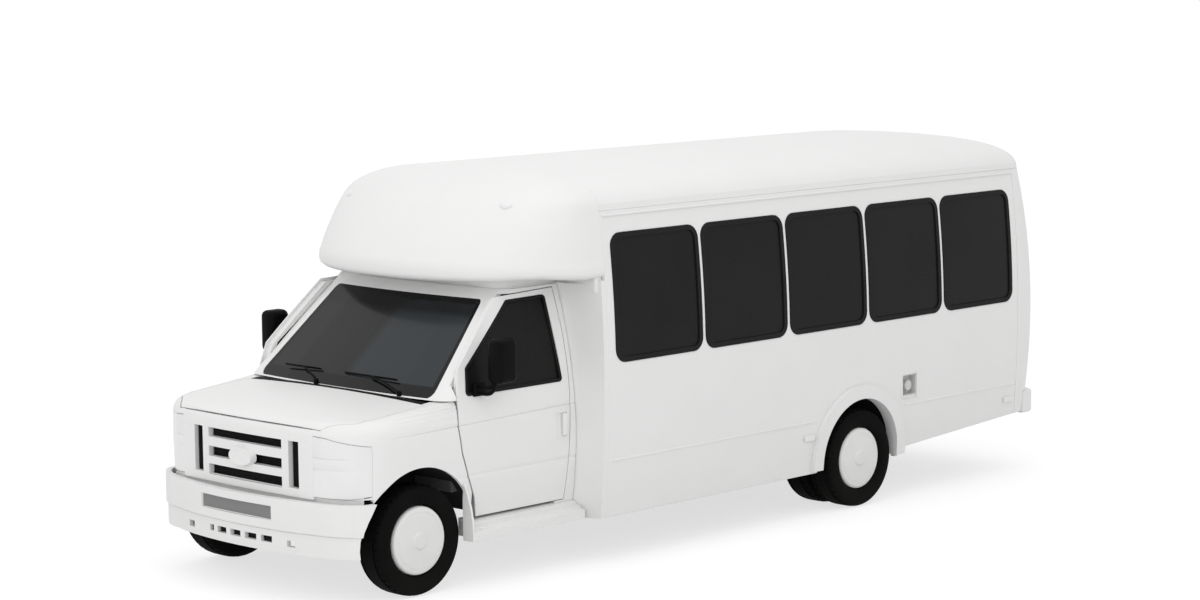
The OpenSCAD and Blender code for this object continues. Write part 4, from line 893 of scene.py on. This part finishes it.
def makeCapNeck():
    # wall between the cab's roof and the cap's underside, and a sill on each side behind it
    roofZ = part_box("cab_shell")[1].z
    wide, (y0, y1), (z0, z1) = neck["halfWide"], neck["y"], (roofZ + up for up in neck["up"])
    obj = block("capNeck", (-wide, y0, z0), (wide, y1, z1), 0)
    pick(obj, lambda c, d: abs(d.z) > 0.9 and c.y < axleY + 1, "EDGE")
    bpy.ops.mesh.bevel(offset=neck["round"], segments=6, affect="EDGES")
    objectMode()
    deleteFaces(obj, lambda c, n: abs(n.z) > 0.9 or n.y > 0.9)
    thicken(obj, neck["thick"])
    parts = [obj]
    (x0, x1), (y0, y1), (z0, z1) = neck["sillX"], neck["sillY"], (roofZ + up for up in neck["sillUp"])
    for side in (1, -1):
        parts.append(block("sill", *sortCorners((side * x0, y0, z0), (side * x1, y1, z1)), neck["sillRound"], 4))
    finishPiece(join("capNeck", parts), "root", finishes["body_white"], "body_white")


makeFuelBezel()
makeCapLamps()
makeCapNeck()
print("coach trim made")

# cab doors: black seals round the glass, corner trim, pull handles
door = {"sealWide": 0.02, "sealOut": 0.0145, "sealThick": 0.006, "handleY": (1.235, 1.282), "handleZ": (0.861, 1.008),
        "handleOut": 0.024, "padBack": 0.05, "padEdge": 0.012, "padProud": 0.006, "padDeep": 0.009}


def makeDoorSeal(side, word):
    # the outline of the outer face of the glass, lifted onto the skin
    seal = twin(made[word + "_door_glass"], word + "DoorSeal")
    deleteFaces(seal, lambda c, n: n.x * side < 0.5)
    editAll(seal)
    bpy.ops.mesh.dissolve_limited(angle_limit=math.radians(12))
    objectMode()
    editAll(seal)
    bpy.ops.mesh.inset(thickness=door["sealWide"], use_outset=False)
    bpy.ops.mesh.delete(type="FACE")
    objectMode()
    seal.data.transform(Matrix.Translation((side * door["sealOut"], 0, 0)))
    thicken(seal, door["sealThick"], 0)
    finishPiece(seal, word + "_door", finishes["frame_rubber"], "frame_rubber")


def makeHandle(side, word):
    # a dished pad with a pull across it
    y0, y1 = (axleY + y for y in door["handleY"])
    z0, z1 = door["handleZ"]
    edge, proud = door["padEdge"], door["padProud"]
    x = abs(skinX(word + "_door", y0 - door["padBack"], (z0 + z1) / 2, side))
    pad = block("pad", *sortCorners((side * (x - proud), y0 - door["padBack"], z0 - edge),
                                    (side * (x + proud), y1 + 0.008, z1 + edge)), 0)
    insetFaces(pad, lambda c, n: n.x * side > 0.9, (0.007, 0), (0.002, -door["padDeep"]))
    softEdges(pad, 0.0015)
    applyAll(pad)
    pull = block("pull", *sortCorners((side * (x + 0.002), y0, z0), (side * (x + door["handleOut"]), y1 - 0.012, z1)), 0)
    insetFaces(pull, lambda c, n: n.x * side > 0.9, (0.006, 0.003))
    softEdges(pull, 0.006, segments=3)
    applyAll(pull)
    finishPiece(join(word + "DoorHandle", [pad, pull]), word + "_door", finishes["body_white"], "body_white")


for side, word in ((1, "driver"), (-1, "passenger")):
    makeDoorSeal(side, word)
    makeHandle(side, word)
print("door detail made")

# mirrors: rounded housings with a glass let in, on a bent pair of arms
mirror = {"wide": 0.124, "halfDeep": 0.088, "round": 0.042, "lip": 0.006, "glassIn": 0.012, "glassEdge": 0.044,
          "glassY": (0.072, 0.080), "headUp": 0.085, "backY": 0.11, "armR": 0.011,
          "armZ": (1.222, 1.262), "baseZ": (1.205, 1.29)}


def makeMirror(side, word):
    # built on the driver's side, and turned over for the other
    low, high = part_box(word + "_mirror")
    inner, outer = sorted((abs(low.x), abs(high.x)))
    headX, headY, headZ = outer - mirror["wide"], high.y - mirror["backY"], low.z + mirror["headUp"]
    deep, edge = mirror["halfDeep"], mirror["glassEdge"]
    housing = block("housing", (headX, headY - deep, headZ), (outer, headY + deep, high.z), 0)
    editAll(housing)
    bpy.ops.mesh.bevel(offset=mirror["round"], segments=6, affect="EDGES")
    objectMode()
    # the rear face is open, with the glass set a little inside
    insetFaces(housing, lambda c, n: n.y > 0.98, (mirror["lip"], 0), (0.002, -mirror["glassIn"]))
    y0, y1 = mirror["glassY"]
    start = (headX + edge, headY + y0, headZ + edge - 0.001)
    glass = block("glass", start, (outer - edge, headY + y1, high.z - edge), 0.002)
    foot = abs(skinX(word + "_door", headY - 0.03, 1.195, side) or inner)
    parts = [housing]
    for z in mirror["armZ"]:
        path = [(foot - 0.004, headY - 0.085, z), (foot + 0.05, headY - 0.088, z), (headX + 0.024, headY - 0.075, z + 0.002),
                (headX + 0.049, headY - 0.06, z + 0.03), (headX + 0.054, headY - 0.05, headZ + 0.035)]
        parts.append(tube("arm", path, mirror["armR"], 4))
    z0, z1 = mirror["baseZ"]
    parts.append(block("base", (foot - 0.004, headY - 0.13, z0), (foot + 0.016, headY - 0.03, z1), 0.006, 3))
    housing = join("housing", parts)
    for obj, name, material, slot, gone in ((housing, "MirrorHousing", "trim_black", "trim_black", [word + "_mirror"]),
                                            (glass, "MirrorGlass", "silver", None, ())):
        if side < 0:
            obj.data.transform(Matrix.Scale(-1, 4, (1, 0, 0)))
            obj.data.flip_normals()
        obj.name = word + name
        finishPiece(obj, word + "_door", finishes[material], slot, gone)


for side, word in ((1, "driver"), (-1, "passenger")):
    makeMirror(side, word)

# wipers: a sprung blade under a tapering arm; each has its blade's two ends and its pivot's x
wiper = {"blades": ((-0.616, -0.251, -0.202), (-0.018, 0.49, 0.606)), "bladeZ": 1.29, "bladeBack": 0.006, "pivotBack": 0.02,
         "pivotZ": 1.222, "armR": 0.0065, "postR": 0.016, "postTall": 0.034}


def makeWipers():
    low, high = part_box("wipers")
    bladeY, bladeZ = high.y - wiper["bladeBack"], wiper["bladeZ"]
    pivotY, pivotZ = low.y + wiper["pivotBack"], wiper["pivotZ"]
    parts = []
    for x0, x1, pivotX in wiper["blades"]:
        middle = (x0 + x1) / 2
        rubber = block("rubber", (x0, bladeY - 0.004, bladeZ - 0.009), (x1, bladeY + 0.003, bladeZ + 0.002), 0.0015)
        back = block("back", (x0 + 0.01, bladeY - 0.010, bladeZ - 0.002), (x1 - 0.01, bladeY - 0.003, bladeZ + 0.008), 0)
        pick(back, lambda c, n: abs(n.x) > 0.9)
        bpy.ops.transform.resize(value=(1, 0.4, 0.4))
        bpy.ops.mesh.select_all(action="SELECT")
        bpy.ops.mesh.bevel(offset=0.0015, segments=2, affect="EDGES")
        objectMode()
        path = [(pivotX, pivotY, pivotZ + 0.006), (between(pivotX, middle, 0.2), pivotY + 0.012, pivotZ + 0.025),
                (between(pivotX, middle, 0.7), bladeY - 0.024, bladeZ - 0.008), (middle, bladeY - 0.012, bladeZ + 0.002)]
        arm = tube("arm", path, wiper["armR"], 3)
        post = drum("post", (pivotX, pivotY, pivotZ), wiper["postR"], wiper["postTall"], "Z", 24, 0.003)
        parts += [rubber, back, arm, post]
    finishPiece(join("wiperPair", parts), "root", finishes["trim_black"], "trim_black", ["wipers"])


makeWipers()
print("mirrors and wipers made")

# entry and rear door glass, seals and grips
leaf = {"glassSide": 0.054, "glassFoot": 0.118, "glassHead": 0.098, "glassIn": 0.016, "glassThick": 0.006,
        "sealPast": 0.0065, "sealOver": 0.004, "sealIn": 0.010, "sealThick": 0.012, "skinEdge": 0.03}
rearDoor = {"glassSide": 0.135, "glassFoot": 1.32, "glassHead": 0.115, "lap": 0.012, "glassIn": 0.02, "glassThick": 0.006,
            "gripZ": 1.12, "gripX": (0.20, 0.06), "gripHalf": 0.03, "leverX": (0.19, 0.08), "leverHalf": 0.012}


def makeLeafGlass(word):
    node = f"entry_{word}_leaf"
    name = node.replace("_leaf", "")
    low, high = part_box(node)
    inset, skinY = leaf["skinEdge"], low.y + leaf["skinEdge"]

    def glassSpot(u, v):
        z = between(low.z + leaf["glassFoot"], high.z - leaf["glassHead"], v)
        x = skinX(node, skinY, z, -1) or low.x
        return x + leaf["glassIn"], between(low.y + leaf["glassSide"], high.y - leaf["glassSide"], u), z

    # soft seal down the meeting edge, which is the rear edge of the front leaf
    edge, over, past = low.y, leaf["sealPast"], leaf["sealOver"]
    if word == "front":
        edge, over, past = high.y, past, over

    def sealSpot(u, v):
        z = between(low.z + 0.004, high.z - 0.004, v)
        x = skinX(node, skinY, min(max(z, low.z + inset), high.z - inset), -1) or low.x
        return x + leaf["sealIn"], between(edge - over, edge + past, u), z

    glass = skinSheet(name + "Glass", 12, 40, glassSpot, leaf["glassThick"])
    finishPiece(glass, node, finishes["dark_glass"], "dark_glass")
    seal = skinSheet(name + "Seal", 2, 40, sealSpot, leaf["sealThick"])
    finishPiece(seal, node, finishes["frame_rubber"], "frame_rubber")


def makeRearDoor():
    # glass behind the window opening, and a grip
    low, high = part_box("rear_door")
    lap = rearDoor["lap"]

    def glassSpot(u, v):
        z = between(rearDoor["glassFoot"] - lap, high.z - rearDoor["glassHead"] + lap, v)
        spot = touch("rear_door", (low.x + 0.06, 9, z), (0, -1, 0))[0]
        y = spot.y if spot else high.y
        return between(low.x + rearDoor["glassSide"], high.x - rearDoor["glassSide"], u), y - rearDoor["glassIn"], z

    glass = skinSheet("rearDoorGlass", 16, 16, glassSpot, rearDoor["glassThick"])
    finishPiece(glass, "rear_door", finishes["dark_glass"], "dark_glass")
    z = rearDoor["gripZ"]
    y = touch("rear_door", (high.x - 0.07, 9, z), (0, -1, 0))[0].y
    (x0, x1), half = (high.x - inward for inward in rearDoor["gripX"]), rearDoor["gripHalf"]
    grip = block("grip", (x0, y - 0.004, z - half), (x1, y + 0.006, z + half), 0.003, 3)
    (x0, x1), half = (high.x - inward for inward in rearDoor["leverX"]), rearDoor["leverHalf"]
    lever = block("lever", (x0, y + 0.006, z - half), (x1, y + 0.02, z + half), 0.006, 3)
    finishPiece(join("rearDoorGrip", [grip, lever]), "rear_door", finishes["trim_black"], "trim_black")


for word in ("front", "rear"):
    makeLeafGlass(word)
makeRearDoor()
print("coach door detail made")

# padded seats: each pad is simulated once and copied to every place
seat = {"voxel": 0.024, "pressure": 4.0, "frames": 20, "swellCap": 0.02, "seamDepth": 0.004, "seamHalf": 0.02,
        "crown": 0.016, "padUnder": 0.115, "padAhead": 0.012, "backAngle": 80, "rows": 5, "aisleGap": 0.24,
        "legWide": 0.04, "boxTall": 0.12}
# sizes of each kind's two pads, where its back stands, half its frame's width, and the heights of its floor and top
seatKinds = {"cab": {"cushion": (0.46, 0.40, 0.10), "back": (0.46, 0.60, 0.085), "backY": 0.495, "half": 0.23,
                     "ground": 0.64, "top": 1.03},
             "bench": {"cushion": (0.40, 0.43, 0.10), "back": (0.40, 0.58, 0.085), "backY": 0.545, "half": 0.41,
                       "ground": 0.78, "top": 1.21}}


def padShape(name, size):
    # a crowned closed pad standing at the origin, its length along Y and its height along Z
    width, length, thick = size
    obj = block(name, (-width / 2, 0, 0), (width / 2, length, thick), 0)
    editAll(obj)
    bpy.ops.mesh.subdivide(number_cuts=6)
    bpy.ops.mesh.select_all(action="SELECT")
    objectMode()
    for point in obj.data.vertices:
        u, v = point.co.x / (width / 2), point.co.y / length * 2 - 1
        crown = (1 - u * u) * (1 - v * v)
        point.co.z += crown * seat["crown"] * (point.co.z > thick / 2)
        point.co.x *= 1 - 0.012 * (1 - v * v)
    addModifier(obj, "BEVEL", width=thick * 0.28, segments=3, limit_method="ANGLE", angle_limit=math.radians(50))
    applyAll(obj)
    addModifier(obj, "REMESH", mode="VOXEL", voxel_size=seat["voxel"])
    applyAll(obj)
    rest = [point.co.copy() for point in obj.data.vertices]
    cloth = addModifier(obj, "CLOTH")
    cloth.settings.use_pressure = True
    cloth.settings.uniform_pressure_force = seat["pressure"]
    cloth.settings.effector_weights.gravity = 0
    cloth.settings.quality = 4
    cloth.point_cache.frame_end = seat["frames"]
    for step in range(1, seat["frames"] + 1):
        bpy.context.scene.frame_set(step)
    takeUp(obj)
    bpy.ops.object.modifier_apply(modifier=cloth.name)
    bpy.context.scene.frame_set(1)
    for point, start in zip(obj.data.vertices, rest):
        move = point.co - start
        if move.length > seat["swellCap"]:
            point.co = start + move.normalized() * seat["swellCap"]
    addModifier(obj, "SUBSURF", levels=1, render_levels=1)
    applyAll(obj)
    # sewn channels pressed into the crowned side
    for point in obj.data.vertices:
        if point.co.z > thick * 0.5:
            for seam in (-width / 6, width / 6):
                near = abs(point.co.x - seam) / seat["seamHalf"]
                point.co.z -= seat["seamDepth"] * max(0, 1 - near)
    return obj


def seatPlaces():
    # name, kind, x of each pad, and front edge of every seat; the first right-hand bench gives way to the entry
    places = [(word + "Cushions", "cab", [x], axleY + 0.79) for x, word in ((0.55, "driver"), (-0.55, "passenger"))]
    pitch = (wallHigh.y - wallLow.y - seat["aisleGap"]) / seat["rows"]
    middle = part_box("left_side_wall")[1].x - 0.532
    for row in range(seat["rows"]):
        for side, word in ((1, "Left"), (-1, "Right")):
            if side > 0 or row > 0:
                columns = [side * middle - 0.215, side * middle + 0.215]
                places.append((f"row{row + 1}{word}Cushions", "bench", columns, wallLow.y + 0.12 + row * pitch))
    return places


def frameBlocks(kind, columns, y):
    # a pan under the cushion and two legs, which stand on the wheel boxes over the rear wheels
    facts = seatKinds[kind]
    top, half, x = facts["top"], facts["half"], sum(columns) / len(columns)
    start = (x - half + 0.02, y + 0.03, top - 0.128)
    blocks = [block("pan", start, (x + half - 0.02, y + 0.40, top - 0.112), 0.004)]
    for legX in (x - half + 0.06, x + half - 0.12):
        onBox = kind == "bench" and abs(y + 0.27 - axleY - rearAxle) < 0.70 and abs(legX) > 0.68
        foot = facts["ground"] + (seat["boxTall"] if onBox else 0)
        blocks.append(block("leg", (legX, y + 0.12, foot), (legX + seat["legWide"], y + 0.42, top - 0.12), 0.006))
    return blocks


def makeSeats():
    pads = {kind: [padShape(kind + part.title(), facts[part]) for part in ("cushion", "back")]
            for kind, facts in seatKinds.items()}
    lean = math.radians(seat["backAngle"])
    places = seatPlaces()
    for index, (name, kind, columns, y) in enumerate(places):
        top, backY = seatKinds[kind]["top"], seatKinds[kind]["backY"]
        cushion, back = pads[kind]
        parts = []
        for x in columns:
            parts.append(twin(cushion, "pad", (x, y + seat["padAhead"], top - seat["padUnder"])))
            # the back leans the way the CAD seat does
            parts.append(twin(back, "back", (x, y + backY, top), lean))
        obj = join(name, parts)
        finishPiece(obj, "root", finishes["seat_fabric"], "seat_fabric", () if index else ["seats"], 60)
    for pad in pads["cab"] + pads["bench"]:
        bpy.data.objects.remove(pad)
    frames = [one for name, *facts in places for one in frameBlocks(*facts)]
    finishPiece(join("cushionFrames", frames), "root", finishes["trim_black"], "trim_black")


makeSeats()
print("seats made")

# entry: grab rails and step nosings
entryLow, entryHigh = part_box("entry_front_leaf")[0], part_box("entry_rear_leaf")[1]
rail = {"radius": 0.016, "inX": 0.62, "inY": 0.03,
        "path": ((0, 0.785), (0, 0.9), (0, 1.5), (0.02, 1.68), (0.06, 1.72), (0.2, 1.73))}
nosing = {"steps": ((-0.9, 0.561), (-0.66, 0.78)), "inY": 0.01, "deep": 0.05, "drop": 0.03, "proud": 0.004}


def makeEntryTrim():
    rails = []
    for y in (entryLow.y + rail["inY"], entryHigh.y - rail["inY"]):
        path = [(entryLow.x + rail["inX"] + dx, y, z) for dx, z in rail["path"]]
        rails.append(tube("rail", path, rail["radius"], 5))
    finishPiece(join("entryRails", rails), "root", finishes["steel"])
    treads = []
    for x, z in nosing["steps"]:
        start = (x - nosing["proud"], entryLow.y + nosing["inY"], z - nosing["drop"])
        treads.append(block("nosing", start, (x + nosing["deep"], entryHigh.y - nosing["inY"], z + nosing["proud"]), 0.002))
    finishPiece(join("stepNosings", treads), "root", finishes["trim_pale"], "trim_pale")


makeEntryTrim()
print("entry trim made")

# plain floor, soft studio light, and the camera
studio = {"lens": 86.676, "azimuth": 44.22, "elevation": 7.02, "roll": -0.53, "eye": (14.1131, -14.6537, 4.0295),
          "worldLevel": 0.89, "topPower": 110, "frontPower": 150, "floorGlow": 1.25, "floorShare": 0.55}


def directRays(tree):
    # 1 for rays straight from the camera, off something shiny or through glass
    paths = place(tree, "ShaderNodeLightPath")
    indirect = mathNode(tree, "MAXIMUM", paths.outputs["Is Glossy Ray"], paths.outputs["Is Transmission Ray"])
    return mathNode(tree, "MAXIMUM", paths.outputs["Is Camera Ray"], indirect)


def mixSurface(tree, share, first, second, output):
    mix = place(tree, "ShaderNodeMixShader")
    for socket, value in zip(mix.inputs, (share, first, second)):
        tree.links.new(value, socket)
    tree.links.new(mix.outputs[0], tree.nodes[output].inputs["Surface"])


def makeStage():
    clearSelection()
    bpy.ops.mesh.primitive_plane_add(size=120, location=(0, 0, -0.001))
    floor = bpy.context.object
    floor.name = "studioFloor"
    material = bpy.data.materials.new("StudioFloor")
    material.use_nodes = True
    tree = material.node_tree
    shader = tree.nodes["Principled BSDF"]
    noise = place(tree, "ShaderNodeTexNoise")
    noise.inputs["Scale"].default_value = 0.6
    colour = blendColour(tree, noise.outputs["Fac"], (0.84, 0.84, 0.84, 1), (0.86, 0.86, 0.86, 1))
    tree.links.new(colour, shader.inputs["Base Color"])
    shader.inputs["Roughness"].default_value = 0.9
    shader.inputs["Specular IOR Level"].default_value = 0.1
    glow = place(tree, "ShaderNodeEmission")
    glow.inputs["Strength"].default_value = studio["floorGlow"]
    share = mathNode(tree, "MULTIPLY", directRays(tree), studio["floorShare"])
    mixSurface(tree, share, shader.outputs[0], glow.outputs[0], "Material Output")
    floor.data.materials.append(material)


def makeWorld():
    world = bpy.data.worlds.new("Studio")
    bpy.context.scene.world = world
    world.use_nodes = True
    tree = world.node_tree
    lit = tree.nodes["Background"]
    lit.inputs["Color"].default_value = (1, 1, 1, 1)
    lit.inputs["Strength"].default_value = studio["worldLevel"]
    seen = place(tree, "ShaderNodeBackground")
    seen.inputs["Color"].default_value = (1, 1, 1, 1)
    mixSurface(tree, directRays(tree), lit.outputs[0], seen.outputs[0], "World Output")


def makeLight(name, eye, target, size, power):
    clearSelection()
    bpy.ops.object.light_add(type="AREA", location=eye)
    light = bpy.context.object
    light.name = name
    light.data.shape = "SQUARE"
    light.data.size = size
    light.data.energy = power
    light.rotation_euler = (Vector(target) - Vector(eye)).to_track_quat("-Z", "Y").to_euler()


def makeCamera():
    a, e, r = (math.radians(studio[key]) for key in ("azimuth", "elevation", "roll"))
    back = Vector((math.sin(a) * math.cos(e), -math.cos(a) * math.cos(e), math.sin(e)))
    right = (-back).cross(Vector((0, 0, 1))).normalized()
    up = right.cross(-back)
    across = right * math.cos(r) + up * math.sin(r)
    upward = up * math.cos(r) - right * math.sin(r)
    clearSelection()
    bpy.ops.object.camera_add()
    camera = bpy.context.object
    camera.data.sensor_width = 36
    camera.data.lens = studio["lens"]
    camera.data.clip_end = 200
    turn = Matrix((across, upward, back)).transposed().to_4x4()
    camera.matrix_world = Matrix.Translation(studio["eye"]) @ turn
    bpy.context.scene.camera = camera


makeStage()
makeWorld()
makeLight("topSoftbox", (2, -2, 9), (0, 0, 1), 8, studio["topPower"])
makeLight("frontSoftbox", (6, -11, 5), (0, -2, 1), 6, studio["frontPower"])
makeCamera()
bpy.context.scene.view_settings.view_transform = "Standard"
print("stage, lights and camera set")
